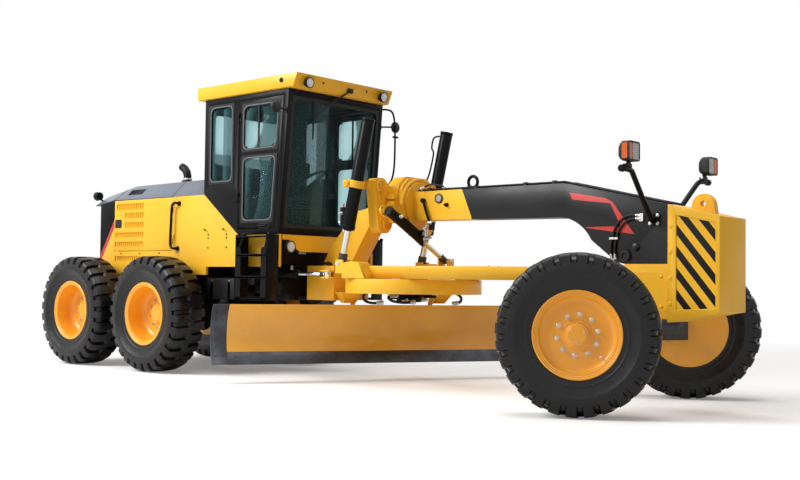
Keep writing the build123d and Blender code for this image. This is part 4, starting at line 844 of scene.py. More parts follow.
# %% Hood hardware on both sides
red_paint = enamel("red_enamel", RED, RED_SHADE, 0.32, dust=0.08)
HOOD_SIDE = 0.75
for name, side in SIDES:
    flat = flank_plane(side, HOOD_SIDE)
    bar = Shape()
    reach = [(-2.215, 0.0, 1.985), (-2.215, 0.045, 1.988), (-2.245, 0.05, 1.992), (-2.285, 0.05, 1.97)]
    reach += [(-2.3, 0.05, 1.91), (-2.31, 0.05, 1.7), (-2.318, 0.05, 1.52), (-2.3, 0.05, 1.465)]
    reach += [(-2.262, 0.05, 1.447), (-2.232, 0.045, 1.447), (-2.23, 0.0, 1.447)]
    bar.tube(smooth_path([(x, side * (HOOD_SIDE + out), z) for x, out, z in reach], 6), 0.0155, 14)
    for x, z in ((-2.215, 1.985), (-2.23, 1.447)):
        bar.spin([(0.03, 0.0), (0.03, 0.006), (0.02, 0.008)], flat @ Matrix.Translation((x, z, 0)), 20)
    bar.piece(f"grab_bar_{name}", black_paint, "rear_body")

    stripe = Shape()
    stripe.slab([(-3.895, 1.324), (-3.83, 1.324), (-3.561, 1.722), (-3.561, 1.822)], 0.0, 0.001, flat)
    stripe.piece(f"red_stripe_{name}", red_paint, "rear_body")

    latch = Shape()
    plate = oblong(-3.54, 1.718, -3.4, 1.826)
    latch.slab(rounded(plate, 0.02), -0.003, 0.003, flat)
    latch.slab(rounded(oblong(-3.528, 1.745, -3.412, 1.814), 0.014), 0.003, 0.007, flat)
    latch.piece(f"door_latch_{name}", black_plastic, f"{name}_hood_door", edge=0.0015)

    fixings = Shape()
    for x, z in ((-1.66, 1.6), (-1.66, 1.56), (-1.66, 1.45), (-1.33, 1.6), (-1.33, 1.56), (-1.33, 1.45)):
        fixings.bolt((x, side * HOOD_SIDE, z), (0, side, 0), 0.008, 0.006)
    for x in (-3.4, -3.0, -2.6):
        fixings.bolt((x, side * HOOD_SIDE, 1.393), (0, side, 0), 0.008, 0.006)
    fixings.bolt((-2.2, side * HOOD_SIDE, 1.3), (0, side, 0), 0.008, 0.006)
    for x in (-1.722, -1.388):
        hook = [(x, side * HOOD_SIDE, 1.662), (x + 0.01, side * 0.775, 1.664),
                (x + 0.045, side * 0.778, 1.65)]
        fixings.tube(smooth_path(hook, 5), 0.007, 10)
    fixings.piece(f"panel_fixings_{name}", black_paint, "rear_body")
print("hood hardware: bars, stripes, latches and fixings on two sides")

# %% [markdown]
# The hood's top is three stretches of sheet with their joints showing as dark lines.
# A vent lies in each slope, a shallow tray with a row of blades. The pipe of the engine
# comes out through a bolted flange, with a clamp where the bent end is pushed on.

# %% Top of the hood
HOOD_SECTIONS = [(-3.99, 2.0153, 2.15), (-3.559, 2.0703, 2.224), (-3.351, 2.0703, 2.26),
                 (-1.7423, 2.0703, 2.278)]


def hood_line(x, lift=0.0):
    """Points across the hood's top at a place along it."""
    for (x1, e1, t1), (x2, e2, t2) in zip(HOOD_SECTIONS, HOOD_SECTIONS[1:]):
        if x1 <= x <= x2:
            share = (x - x1) / (x2 - x1)
            edge, top = e1 + (e2 - e1) * share + 0.012, t1 + (t2 - t1) * share
    half = [(HOOD_SIDE + lift * 0.7, edge - 0.012), (HOOD_SIDE + lift * 0.7, edge + lift * 0.3),
            (0.56, top + lift)]
    return [(x, -y, z) for y, z in half] + [(x, y, z) for y, z in reversed(half)]


seams = Shape()
for x in (-3.559, -2.345):
    seams.tube(hood_line(x), 0.0035, 8)
seams.piece("hood_seams", black_plastic, "rear_body", slot="dark_paint")

for name, side in SIDES:
    slope = Vector((0, side * 0.687, 0.727))
    lower = Vector((0, side * 0.727, -0.687))
    middle = Vector((-3.215, side * 0.6555, 2.1706))
    tray = Matrix((Vector((1, 0, 0)), lower, slope)).transposed().to_4x4()
    tray.translation = middle
    vent = Shape()
    vent.ring(rounded(oblong(-0.15, -0.05, 0.15, 0.05), 0.012),
              rounded(oblong(-0.14, -0.042, 0.14, 0.042), 0.01), -0.004, 0.004, tray)
    vent.slab(oblong(-0.145, -0.046, 0.145, 0.046), -0.003, 0.0008, tray)
    for step in range(6):
        vent.block((0, -0.034 + step * 0.0136, 0.0025), (0.282, 0.0045, 0.006), tray)
    vent.piece(f"hood_vent_{name}", black_plastic, "rear_body")

low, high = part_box("exhaust")
pipe_x, pipe_y = high[0] - 0.075, (low[1] + high[1]) / 2
pipe_axis = Matrix.Translation((pipe_x, pipe_y, 0))
flange = Shape()
flange.spin([(0.082, 2.272), (0.118, 2.272), (0.118, 2.284), (0.112, 2.287), (0.082, 2.287)],
            pipe_axis, 40, close=True)
flange.bolt_ring(pipe_axis, 0.1, 6, 2.287, 0.008, 0.006)
band = [(0.0505, 2.345), (0.054, 2.345), (0.0555, 2.35), (0.0555, 2.362), (0.054, 2.367), (0.0505, 2.367)]
flange.spin(band, pipe_axis, 40, close=True)
flange.tube([(pipe_x + 0.056, pipe_y - 0.02, 2.356), (pipe_x + 0.056, pipe_y + 0.03, 2.356)], 0.006, 10)
flange.piece("exhaust_flange", zinc, "rear_body")
print("exhaust comes out at:", round(pipe_x, 3), round(pipe_y, 3))

# %% [markdown]
# Behind the slats of the tail stands the radiator, a block of very thin fins between
# upright tubes. Only its face shows, so the fins are thin plates over a dark sheet.
# Lamps for work and for the road sit round the tail and the cab. Each is a deep cup
# with a bezel, a bright bowl inside and a ribbed lens over it.

# %% Radiator and lamps
core = Shape()
core.block((-3.9, 0, 1.66), (0.004, 0.9, 0.56))
for step in range(64):
    core.block((-3.905, -0.441 + step * 0.014, 1.66), (0.01, 0.0015, 0.55))
for step in range(10):
    core.block((-3.912, 0, 1.41 + step * 0.0555), (0.012, 0.89, 0.006))
core.piece("radiator_core", cast_iron, "rear_body", slot="dark_paint")

bowl_chrome = bare_metal("lamp_bowl", (0.86, 0.87, 0.88, 1), (0.8, 0.8, 0.82, 1), 0.08)


def work_lamp(name, at, facing, radius, deep, body="rear_body", glass=None):
    """A round lamp: cup and bezel, bright bowl, and a domed lens."""
    frame = axis_frame(at, facing)
    cup = Shape()
    cup.spin([(radius * 0.45, -deep), (radius * 0.7, -deep * 0.95), (radius * 0.98, -deep * 0.35),
              (radius, 0.0), (radius * 1.04, 0.002), (radius * 1.04, 0.012), (radius * 0.98, 0.015),
              (radius * 0.88, 0.013), (radius * 0.86, 0.004)], frame, 40)
    cup.piece(f"{name}_cup", black_plastic, body)
    bowl = Shape()
    bowl.spin([(radius * 0.2, 0.0045), (radius * 0.55, 0.005), (radius * 0.85, 0.0065)], frame, 40)
    bowl.piece(f"{name}_bowl", bowl_chrome, body)
    cover = Shape()
    cover.spin([(radius * 0.87, 0.007), (radius * 0.87, 0.011), (radius * 0.7, 0.0145),
                (radius * 0.4, 0.017), (radius * 0.05, 0.018)], frame, 40)
    cover.piece(f"{name}_lens", glass or clear_lens, body)


for name, side in SIDES:
    work_lamp(f"roof_lamp_{name}", (-0.16, side * 0.598, 3.234), (1, 0, -0.12), 0.058, 0.045)
    work_lamp(f"foot_lamp_{name}", (-0.392, side * 0.624, 1.451), (1, 0, 0), 0.064, 0.04)
    work_lamp(f"tail_work_lamp_{name}", (-4.108, side * 0.65, 2.157), (-1, 0, -0.1), 0.056, 0.04)
    work_lamp(f"stop_lamp_{name}", (-4.058, side * 0.56, 1.02), (-1, 0, 0), 0.048, 0.018, glass=red_lens)
    work_lamp(f"turn_lamp_{name}", (-4.058, side * 0.43, 1.02), (-1, 0, 0), 0.042, 0.018, glass=amber_lens)
print("lamps: roof, foot and tail on both sides")

# %% [markdown]
# Cab windows are held by rubber profiles. The black lip lies on the sheet and on the
# pane, and a lighter filler strip is pressed into its groove and locks it. Profiles
# can't turn sharp corners, so every window has round corners even in square openings.

# %% Window rubbers
bead_rubber = rubber("filler_strip", paint_chart(104, 108, 112), 0.42, 800, dust=0.05)


def window_rubber(name, opening, frame, body, lip=0.03, radius=0.075, bead=True):
    """The rubber round one opening, whose corners run anticlockwise in the frame's plane."""
    outer = rounded(grown(opening, 0.010), 0.012, 7)
    inner = rounded(grown(opening, -lip), radius, 7)
    profile = Shape()
    profile.ring(outer, inner, -0.004, 0.0035, frame)
    profile.piece(f"{name}_rubber", black_plastic, body, edge=0.0012, slot="tyre_rubber")
    if bead:
        strip = Shape()
        middle = rounded(grown(opening, -lip * 0.45), radius * 1.02, 7)
        rim = rounded(grown(opening, -lip * 0.45 - 0.011), radius, 7)
        strip.ring(middle, rim, 0.002, 0.0065, frame)
        strip.piece(f"{name}_filler", bead_rubber, body, edge=0.0015)


CAB_FOOT = (-0.441, 1.588)
CAB_LEAN = 0.127 / 1.587
FRONT_INSET = 0.125


def post_x(z, inset=0.0):
    return CAB_FOOT[0] + CAB_LEAN * (z - CAB_FOOT[1]) - inset


def door_opening(low, high):
    return [(-1.07, low), (post_x(low, FRONT_INSET), low), (post_x(high, FRONT_INSET), high), (-1.07, high)]


CAB_SIDE = 0.758
SCREEN_TILT = math.atan(CAB_LEAN)
for name, side in SIDES:
    flat = flank_plane(side, CAB_SIDE)
    rear_pane = oblong(-1.65, 2.19, -1.23, 3.09)
    window_rubber(f"rear_side_window_{name}", rear_pane, flat, "rear_body")
    door = f"{name}_cab_door"
    window_rubber(f"door_upper_{name}", door_opening(2.53, 3.06), flat, door)
    window_rubber(f"door_lower_{name}", door_opening(1.73, 2.47), flat, door)
    details = Shape()
    details.block((-0.8, 2.795, -0.004), (0.022, 0.5, 0.012), flat)
    for x, z in ((-1.0, 2.57), (-0.55, 2.57), (-1.0, 3.02)):
        details.spin([(0.014, -0.002), (0.014, 0.008), (0.008, 0.011)],
                     flat @ Matrix.Translation((x, z, 0)), 16)
    details.ring(rounded(oblong(-0.77, 1.655, -0.6, 1.712), 0.012),
                 rounded(oblong(-0.76, 1.664, -0.61, 1.703), 0.01), 0.0, 0.006, flat)
    grip = [(-0.75, 1.684, 0.002), (-0.74, 1.684, 0.026), (-0.69, 1.684, 0.03), (-0.64, 1.684, 0.026),
            (-0.625, 1.684, 0.002)]
    details.tube([flat @ Vector(point) for point in smooth_path(grip, 5)], 0.007, 10)
    details.piece(f"door_details_{name}", black_plastic, door, edge=0.001)
rear_view = oblong(-0.648, 2.41, 0.648, 3.05)
window_rubber("rear_window", rear_view, cross_plane(-1.742, -1), "rear_body", bead=False)
screen_middle = Matrix.Translation((post_x(2.3815), 0, 2.3815))
tilt = screen_middle @ Matrix.Rotation(SCREEN_TILT, 4, "Y") @ cross_plane(0.0)
window_rubber("windscreen", oblong(-0.688, -0.715, 0.688, 0.715), tilt, "rear_body", bead=False)
print("window rubbers stand on:", round(CAB_SIDE, 3), "m from the middle")

# %% [markdown]
# The long wiper hangs from a motor box on the roof's front edge. Two thin arms hold
# the blade upright while it sweeps. The left mirror rides on a tall hoop of tube that
# also serves as a hand hold, and the right one on a short bar.

# %% Wiper, mirrors and roof trim
def on_screen(y, z, lift):
    return (post_x(z) + lift, y, z)


wiper = Shape()
wiper.block((-0.222, 0.082, 3.243), (0.05, 0.09, 0.05))
wiper.spin([(0.02, 0.0), (0.02, 0.022), (0.014, 0.028)], axis_frame((-0.2, 0.072, 3.236), (1, 0, -0.1)), 20)
for shift in (0.0, 0.03):
    arm = [(-0.188, 0.066 - shift, 3.232 - shift * 0.4), on_screen(-0.12 - shift, 3.08, 0.045),
           on_screen(-0.36, 2.9 + shift, 0.03)]
    wiper.tube(smooth_path(arm, 6), 0.006, 8)
wiper.tube([on_screen(-0.382, 3.09, 0.022), on_screen(-0.376, 2.88, 0.026), on_screen(-0.37, 2.65, 0.022)],
           0.008, 8)
wiper.block((post_x(2.87) + 0.012, -0.377, 2.87), (0.014, 0.006, 0.43))
wiper.piece("wiper", black_plastic, "rear_body")

hoop = [(-0.36, 0.765, 3.128), (-0.31, 0.82, 3.131), (-0.255, 0.858, 3.1), (-0.226, 0.87, 2.99),
        (-0.216, 0.872, 2.8)]
hoop += [(-0.222, 0.87, 2.45), (-0.25, 0.85, 2.28), (-0.31, 0.81, 2.205), (-0.38, 0.765, 2.19)]
bars = Shape()
bars.tube(smooth_path(hoop, 8), 0.0115, 12)
bars.block((-0.216, 0.88, 2.8), (0.03, 0.075, 0.02))
bars.spin([(0.022, -0.015), (0.022, 0.015)], axis_frame((-0.22, 0.872, 2.922), (0, 0, 1)), 16)
for z in (3.128, 2.19):
    bars.block((-0.37, 0.765, z), (0.06, 0.016, 0.06))
bars.piece("mirror_hoop", black_paint, "rear_body")
for name, at in (("right", (-0.3, -0.963, 2.94)), ("left", (-0.25, 0.905, 2.922))):
    cap = Shape()
    cap.spin([(0.065, 0.0), (0.065, 0.018), (0.06, 0.024), (0.045, 0.033), (0.02, 0.039), (0.002, 0.04)],
             axis_frame(at, (1, 0, 0)), 40)
    cap.spin([(0.0655, 0.001), (0.0655, -0.004), (0.058, -0.005), (0.057, 0.0)],
             axis_frame(at, (1, 0, 0)), 40)
    cap.piece(f"mirror_cap_{name}", black_plastic, "rear_body")
    glass = Shape()
    glass.spin([(0.058, -0.003), (0.058, -0.0015), (0.001, -0.0015), (0.001, -0.0052), (0.03, -0.0046)],
               axis_frame(at, (1, 0, 0)), 40)
    glass.piece(f"mirror_glass_{name}", mirror_glass, "rear_body")

roof_low, roof_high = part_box("cab_roof")
trim = Shape()
for side in (-1, 1):
    trim.block(((roof_low[0] + roof_high[0] - 0.06) / 2, side * (roof_high[1] - 0.006), 3.181),
               (1.6, 0.012, 0.008))
    trim.spin([(0.026, 0.0), (0.026, 0.012), (0.012, 0.022), (0.006, 0.03)],
              axis_frame((-0.42, side * roof_high[1], 3.268), (0, side, 0)), 16)
for y in (-0.35, 0.35):
    trim.bolt((-0.2, y, 3.27), (1, 0, -0.4), 0.01, 0.007)
trim.piece("roof_trim", black_plastic, "rear_body")
print("wiper, mirrors and roof trim are on")

# %% [markdown]
# Inside the cab stands a sprung seat. Its pads are foam under woven cloth, crowned in
# the middle and pulled in at the sewn edges. Each pad starts as a coarse closed form
# and is rounded by two steps of subdivision. A bellows of five folds carries them.

# %% Seat
def woven_cloth(name, colour, shade):
    """Coarse hard-wearing weave with a soft sheen."""
    finish, tree, shader = new_finish(name)
    at = place(tree)
    warp = put(tree, "TexWave", {"Vector": at, "Scale": 160.0}, bands_direction="Y").outputs["Fac"]
    weft = put(tree, "TexWave", {"Vector": at, "Scale": 160.0}, bands_direction="Z").outputs["Fac"]
    weave = maths(tree, "MULTIPLY", warp, weft)
    tone = maths(tree, "ADD", maths(tree, "MULTIPLY", weave, 0.5),
                 maths(tree, "MULTIPLY", speckle(tree, 60, 0.3, 0.7), 0.5))
    join(tree, blend_colours(tree, tone, colour, shade), shader.inputs["Base Color"])
    shader.inputs["Roughness"].default_value = 0.85
    shader.inputs["Sheen Weight"].default_value = 0.3
    roughen(tree, shader, weave, 0.3, 0.001)
    return finish


seat_cloth = woven_cloth("seat_cloth", paint_chart(44, 46, 50), paint_chart(30, 32, 36))


SEAM_PULL = 0.035      # how far the middle of a sewn edge is drawn in, as a share of the pad


def pad(name, middle, size, crown, matrix=None):
    """A crowned pad: its top is high in the middle and its sides pull in between the corners."""
    count = 9
    points, faces = [], []
    for layer, height in enumerate((0.0, 0.35, 0.75, 1.0)):
        for i in range(count):
            for j in range(count):
                u, v = i / (count - 1) * 2 - 1, j / (count - 1) * 2 - 1
                waist = 1 - 0.03 * (1 - abs(height - 0.5) * 2)
                pull_x, pull_y = 1 - SEAM_PULL * (1 - v * v), 1 - SEAM_PULL * (1 - u * u)
                swell = crown * (1 - u ** 4) * (1 - v ** 4) if layer == 3 else 0.0
                soft = 0.0 if layer < 3 else -0.02 * max(abs(u), abs(v)) ** 8
                x = middle[0] + u * size[0] / 2 * waist * (1 / (1 - SEAM_PULL) * pull_x)
                y = middle[1] + v * size[1] / 2 * waist * (1 / (1 - SEAM_PULL) * pull_y)
                points.append((x, y, middle[2] + (height - 0.5) * size[2] + swell + soft))

    def cell(*corners):
        faces.append(tuple(layer * count * count + i * count + j for layer, i, j in corners))

    last = count - 1
    for layer in (0, 3):
        for i in range(last):
            for j in range(last):
                cell((layer, i, j), (layer, i + 1, j), (layer, i + 1, j + 1), (layer, i, j + 1))
    for layer in range(3):
        up = layer + 1
        for i in range(last):
            for j in (0, last):
                cell((layer, i, j), (layer, i + 1, j), (up, i + 1, j), (up, i, j))
            for j in (0, last):
                cell((layer, j, i), (layer, j, i + 1), (up, j, i + 1), (up, j, i))
    if matrix:
        points = [matrix @ Vector(point) for point in points]
    cushion = seat_piece(name, points, faces, seat_cloth, "rear_body", smooth=80)
    weld = cushion.modifiers.new("join corners", "WELD")
    weld.merge_threshold = 0.0005
    rounding = cushion.modifiers.new("soft corners", "SUBSURF")
    rounding.levels = rounding.render_levels = 2
    return cushion


lean = Matrix.Translation((-1.2, 0, 2.05)) @ Matrix.Rotation(math.radians(-84), 4, "Y")
seat_pad = pad("seat_cushion", (-0.985, 0, 1.965), (0.47, 0.5, 0.12), 0.02)
back_pad = pad("seat_back", (0.22, 0, 0.0), (0.5, 0.46, 0.1), 0.02, lean)
head_pad = pad("seat_head_rest", (0.52, 0, 0.005), (0.15, 0.26, 0.09), 0.015, lean)
base = Shape()
base.block((-0.93, 0, 1.66), (0.34, 0.4, 0.06))
for step in range(5):
    z = 1.7 + step * 0.036
    base.slab(rounded(oblong(-1.08, -0.17, -0.79, 0.17), 0.05), z, z + 0.022)
    base.slab(rounded(oblong(-1.065, -0.155, -0.805, 0.155), 0.04), z + 0.02, z + 0.038)
base.block((-0.95, 0, 1.895), (0.44, 0.42, 0.03))
for side in (-1, 1):
    base.block((-1.0, side * 0.255, 2.12), (0.28, 0.05, 0.035))
    base.block((-1.12, side * 0.25, 2.02), (0.04, 0.035, 0.2))
for y in (-0.06, 0.06):
    base.tube([(-1.225, y, 2.42), (-1.235, y, 2.56)], 0.008, 8)
base.block((-1.232, 0, 2.22), (0.03, 0.42, 0.42))
base.piece("seat_base", black_plastic, "rear_body", edge=0.004)
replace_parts(seat_pad, "seat")
print("seat pads:", seat_pad.name, back_pad.name, head_pad.name)

# %% [markdown]
# The driver works the blade with eight short levers, four on each side of the wheel.
# Each has a moulded knob. A small display, two pedals and a ribbed rubber mat stand
# round them. The levers are swept tubes, and the mat's ribs are thin boxes.

# %% Levers, pedals and floor
controls = Shape()
for side in (-1, 1):
    controls.block((-0.66, side * 0.17, 2.07), (0.16, 0.12, 0.05))
    for step in range(4):
        x, y = -0.72 + step * 0.036, side * 0.17
        top = (x - 0.015, y + side * 0.012, 2.235)
        controls.tube([(x, y, 2.08), ((x + top[0]) / 2, (y + top[1]) / 2 + side * 0.004, 2.16), top],
                      0.0055, 8)
        controls.spin([(0.006, -0.012), (0.014, 0.0), (0.016, 0.02), (0.012, 0.034), (0.003, 0.04)],
                      Matrix.Translation(top), 14)
controls.block((-0.5, -0.36, 2.33), (0.03, 0.2, 0.14))
controls.tube([(-0.49, -0.36, 2.33), (-0.46, -0.36, 2.2), (-0.5, -0.36, 2.0)], 0.012, 10)
for y in (-0.22, 0.22):
    controls.block((-0.62, y, 1.66), (0.16, 0.09, 0.02))
controls.piece("cab_controls", black_plastic, "rear_body", edge=0.002)
screen_face = Shape()
screen_face.slab(rounded(oblong(-0.085, -0.055, 0.085, 0.055), 0.008), 0.0, 0.002,
                 cross_plane(-0.5155, -1) @ Matrix.Translation((-0.36, 2.33, 0)))
screen_face.piece("display_face", mirror_glass, "rear_body", slot="plastic")
mat_rubber = rubber("floor_mat", paint_chart(30, 31, 33), 0.7, 300, dust=0.3)
mat = Shape()
mat.block((-1.0, 0, 1.6315), (1.0, 1.2, 0.006))
for step in range(24):
    mat.block((-1.0, -0.575 + step * 0.05, 1.6355), (0.98, 0.014, 0.004))
mat.piece("floor_mat", mat_rubber, "rear_body")
print("cab is fitted out")

# %% [markdown]
# Below the windscreen a folded yellow panel closes the front of the cab. The ladders
# at its sides are strips of plate with serrated treads, and each has two bent hooks at
# its top to hold on to.

# %% Front panel and ladders
apron = Shape()
half = [(0.0, 1.402), (0.44, 1.402), (0.5, 1.43), (0.545, 1.505), (0.62, 1.53), (0.706, 1.53),
        (0.706, 1.584), (0.0, 1.584)]
outline = [(-y, z) for y, z in reversed(half[1:-1])] + half[1:-1]
apron.slab(outline, 0.0015, 0.007, cross_plane(-0.4405))
for y in (-0.36, -0.12, 0.12, 0.36):
    apron.bolt((-0.4335, y, 1.565), (1, 0, 0), 0.008, 0.006)
apron.piece("front_apron", yellow_paint, "rear_body", edge=0.002)
vents = Shape()
for y in (-0.45, -0.42, -0.39, -0.36):
    vents.block((-0.44, y, 1.386), (0.02, 0.016, 0.02))
vents.piece("front_vents", zinc, "rear_body", edge=0.002)

STRIP_HALF = 0.045     # half the width of a ladder's side strip
for name, side in SIDES:
    ladder = Shape()
    outside = flank_plane(side, 0.93)
    for x in (-0.957 + STRIP_HALF, -0.443 - STRIP_HALF):
        plate = [(x - STRIP_HALF, 0.862), (x + STRIP_HALF, 0.862), (x + STRIP_HALF, 1.42)]
        plate += [(x + 0.03, 1.44), (x - 0.03, 1.44), (x - STRIP_HALF, 1.42)]
        ladder.slab(plate, -0.008, 0.0, outside)
        for z in (0.9, 1.118, 1.358, 1.4):
            for shift in (-0.018, 0.018):
                ladder.bolt((x + shift, side * 0.93, z), (0, side, 0), 0.009, 0.007)
    for z in (0.877, 1.117, 1.357):
        for step in range(13):
            ladder.block((-0.94 + step * 0.04, side * 0.845, z + 0.006), (0.012, 0.16, 0.012))
        ladder.block((-0.7, side * 0.926, z - 0.004), (0.5, 0.008, 0.03))
    for x, lean_x in ((-0.93, 0.085), (-0.5, 0.055)):
        hook = [(x, 1.36), (x + 0.006, 1.42), (x + lean_x * 0.75, 1.54), (x + lean_x, 1.585),
                (x + lean_x + 0.02, 1.578)]
        path = [(u, side * 0.9, z) for u, z in hook]
        ladder.tube(smooth_path(path, 5), 0.0165, 12)
    ladder.piece(f"ladder_{name}", black_paint, "rear_body", edge=0.0012)
print("front panel and ladders are on")

# %% [markdown]
# Oil for the front axle and the lamps runs along the arch. Steel pipes lie on its top
# under saddle clamps. Two rubber hoses drop in a bow down its side to the axle. A hose
# end is a hexagon nut and a crimped sleeve, so each end here gets both.

# %% Pipes and hoses of the arch
def hose_end(shape, at, facing, radius):
    """Nut and crimped sleeve where a hose leaves its port along facing."""
    frame = axis_frame(at, facing)
    shape.spin([(radius * 1.9, -0.004), (radius * 1.9, radius * 1.1), (radius * 1.6, radius * 1.3)],
               frame, 6)
    rings = [(radius * 1.3, radius * 1.3)]
    for step in range(4):
        low = radius * (1.5 + step * 0.7)
        rings += [(radius * 1.42, low), (radius * 1.42, low + radius * 0.45),
                  (radius * 1.3, low + radius * 0.55)]
    shape.spin(rings + [(radius * 1.25, radius * 4.6)], frame, 20)


def hose_run(name, points, radius, body, finish=None, ends=True, steps=8):
    """A hose or pipe on a soft line, with a fitting at each end."""
    line = smooth_path(points, steps)
    run = Shape()
    run.tube(line, radius, 12)
    run.piece(name, finish or hose_rubber, body, slot="steel" if finish else None)
    if ends:
        fittings = Shape()
        hose_end(fittings, line[0], line[1] - line[0], radius)
        hose_end(fittings, line[-1], line[-2] - line[-1], radius)
        fittings.piece(name + "_ends", zinc, body)


ARCH_SIDE = 0.125
for name, side in SIDES:
    y = side * (ARCH_SIDE + 0.013)
    outer = [(3.60, y, 1.695), (3.54, y, 1.706), (3.448, y, 1.69), (3.365, y, 1.62), (3.318, y, 1.503),
             (3.304, y, 1.40), (3.315, y, 1.315)]
    inner = [(3.60, y, 1.668), (3.545, y, 1.674), (3.468, y, 1.655), (3.402, y, 1.595), (3.36, y, 1.497),
             (3.346, y, 1.40), (3.352, y, 1.315)]
    hose_run(f"arch_hose_outer_{name}", outer, 0.0095, "front_body")
    hose_run(f"arch_hose_inner_{name}", inner, 0.0095, "front_body")
    guard = Shape()
    guard.block((3.339, side * (ARCH_SIDE + 0.013), 1.5), (0.085, 0.03, 0.018))
    guard.bolt((3.339, side * (ARCH_SIDE + 0.028), 1.5), (0, side, 0), 0.007, 0.005)
    guard.block((3.615, side * (ARCH_SIDE + 0.012), 1.682), (0.035, 0.024, 0.07))
    guard.piece(f"arch_clamp_{name}", zinc, "front_body", edge=0.0015)
    boss = Shape()
    boss.spin([(0.052, 0.0), (0.052, 0.018), (0.046, 0.024), (0.03, 0.024), (0.028, 0.014), (0.001, 0.014)],
              axis_frame((3.45, side * ARCH_SIDE, 1.34), (0, side, 0)), 32)
    boss.spin([(0.036, 0.0), (0.036, 0.012), (0.03, 0.016), (0.001, 0.016)],
              axis_frame((3.55, side * ARCH_SIDE, 1.42), (0, side, 0)), 28)
    boss.piece(f"arch_boss_{name}", arch_paint, "front_body")

top_line = [(1.0, 2.0405), (1.6, 2.0405), (2.2, 2.0405), (2.74, 2.0405), (2.83, 2.0325), (3.3, 1.928),
            (3.88, 1.7995)]
for step, y in enumerate((-0.108, -0.078, 0.078, 0.108)):
    hose_run(f"arch_pipe_{step + 1}", [(x, y, z) for x, z in top_line], 0.0105, "front_body", black_paint,
             ends=False, steps=4)
clamps = Shape()
for x, z in ((1.15, 2.04), (1.75, 2.04), (2.35, 2.04), (2.68, 2.04)):
    for side in (-1, 1):
        clamps.block((x, side * 0.093, z + 0.003), (0.035, 0.062, 0.03))
        clamps.bolt((x, side * 0.093, z + 0.018), (0, 0, 1), 0.007, 0.005)
clamps.piece("arch_pipe_clamps", black_plastic, "front_body", edge=0.003)

# the ring that lifts the arch by a crane, and its foot
ring = Shape()
turns = [step * math.pi / 16 for step in range(33)]
circle_path = [(1.63 + 0.058 * math.cos(turn), 0.0, 2.106 + 0.058 * math.sin(turn)) for turn in turns]
ring.tube(circle_path, 0.0165, 14)
ring.block((1.63, 0, 2.036), (0.2, 0.11, 0.018))
ring.block((1.63, 0, 2.05), (0.11, 0.05, 0.03))
for x in (1.55, 1.71):
    for y in (-0.035, 0.035):
        ring.bolt((x, y, 2.045), (0, 0, 1), 0.009, 0.007)
ring.piece("arch_lifting_ring", black_paint, "front_body", edge=0.002)
hose_run("arch_cross_hose", [(1.38, -0.09, 2.05), (1.3, -0.12, 2.075), (1.18, -0.14, 2.09),
                             (1.08, -0.16, 2.05)], 0.009, "front_body")
print("pipes, hoses and the ring are on the arch")

# %% [markdown]
# The saddle is the casting that carries the blade's cylinders. Its big ring is a lock.
# A pin goes into one of the ring's holes and holds the saddle at an angle. The joints
# of its links are pins with a bar across the end. A lever and an elbow serve the lock.

# %% Saddle, its lock and its levers
for name, side in SIDES:
    dial = Shape()
    face = side * (ARCH_SIDE + 0.001)
    dial.spin([(0.05, 0.0), (0.05, 0.01), (0.046, 0.013), (0.038, 0.013), (0.036, 0.009)],
              axis_frame((1.29, face, 1.945), (0, side, 0)), 36)
    dial.piece(f"gauge_rim_{name}", black_plastic, "front_body")
    dial_face = Shape()
    dial_face.spin([(0.0375, 0.004), (0.0375, 0.0095), (0.001, 0.01)],
                   axis_frame((1.29, face, 1.945), (0, side, 0)), 36)
    dial_face.piece(f"gauge_face_{name}", clear_lens, "front_body")
    nipple = Shape()
    nipple.spin([(0.022, 0.0), (0.022, 0.012), (0.014, 0.016), (0.012, 0.032), (0.016, 0.036),
                 (0.004, 0.042)], axis_frame((1.395, face, 1.875), (0, side, 0)), 24)
    nipple.piece(f"oil_point_{name}", black_paint, "front_body")
    if name == "left":
        continue      # the lock is worked from the right side alone
    lever = Shape()
    run = [(1.087, side * 0.15, 1.935), (1.12, side * 0.155, 1.87), (1.16, side * 0.155, 1.77),
           (1.2, side * 0.155, 1.68)]
    lever.tube(smooth_path(run, 6), 0.014, 12)
    lever.spin([(0.024, -0.018), (0.024, 0.018)], axis_frame((1.09, side * 0.145, 1.93), (0, side, 0)), 20)
    lever.block((1.21, side * 0.14, 1.66), (0.04, 0.05, 0.08))
    lever.piece(f"lock_lever_{name}", black_paint, "front_body", edge=0.002)

    elbow = Shape()
    elbow.tube(smooth_path([(1.13, side * 0.14, 1.6), (1.135, side * 0.145, 1.66),
                            (1.17, side * 0.15, 1.695), (1.225, side * 0.15, 1.69)], 6), 0.021, 14)
    hose_end(elbow, (1.13, side * 0.14, 1.61), (0, 0, -1), 0.012)
    hose_end(elbow, (1.165, side * 0.17, 1.65), (0, side, -0.4), 0.01)
    elbow.piece(f"lock_elbow_{name}", zinc, "front_body")

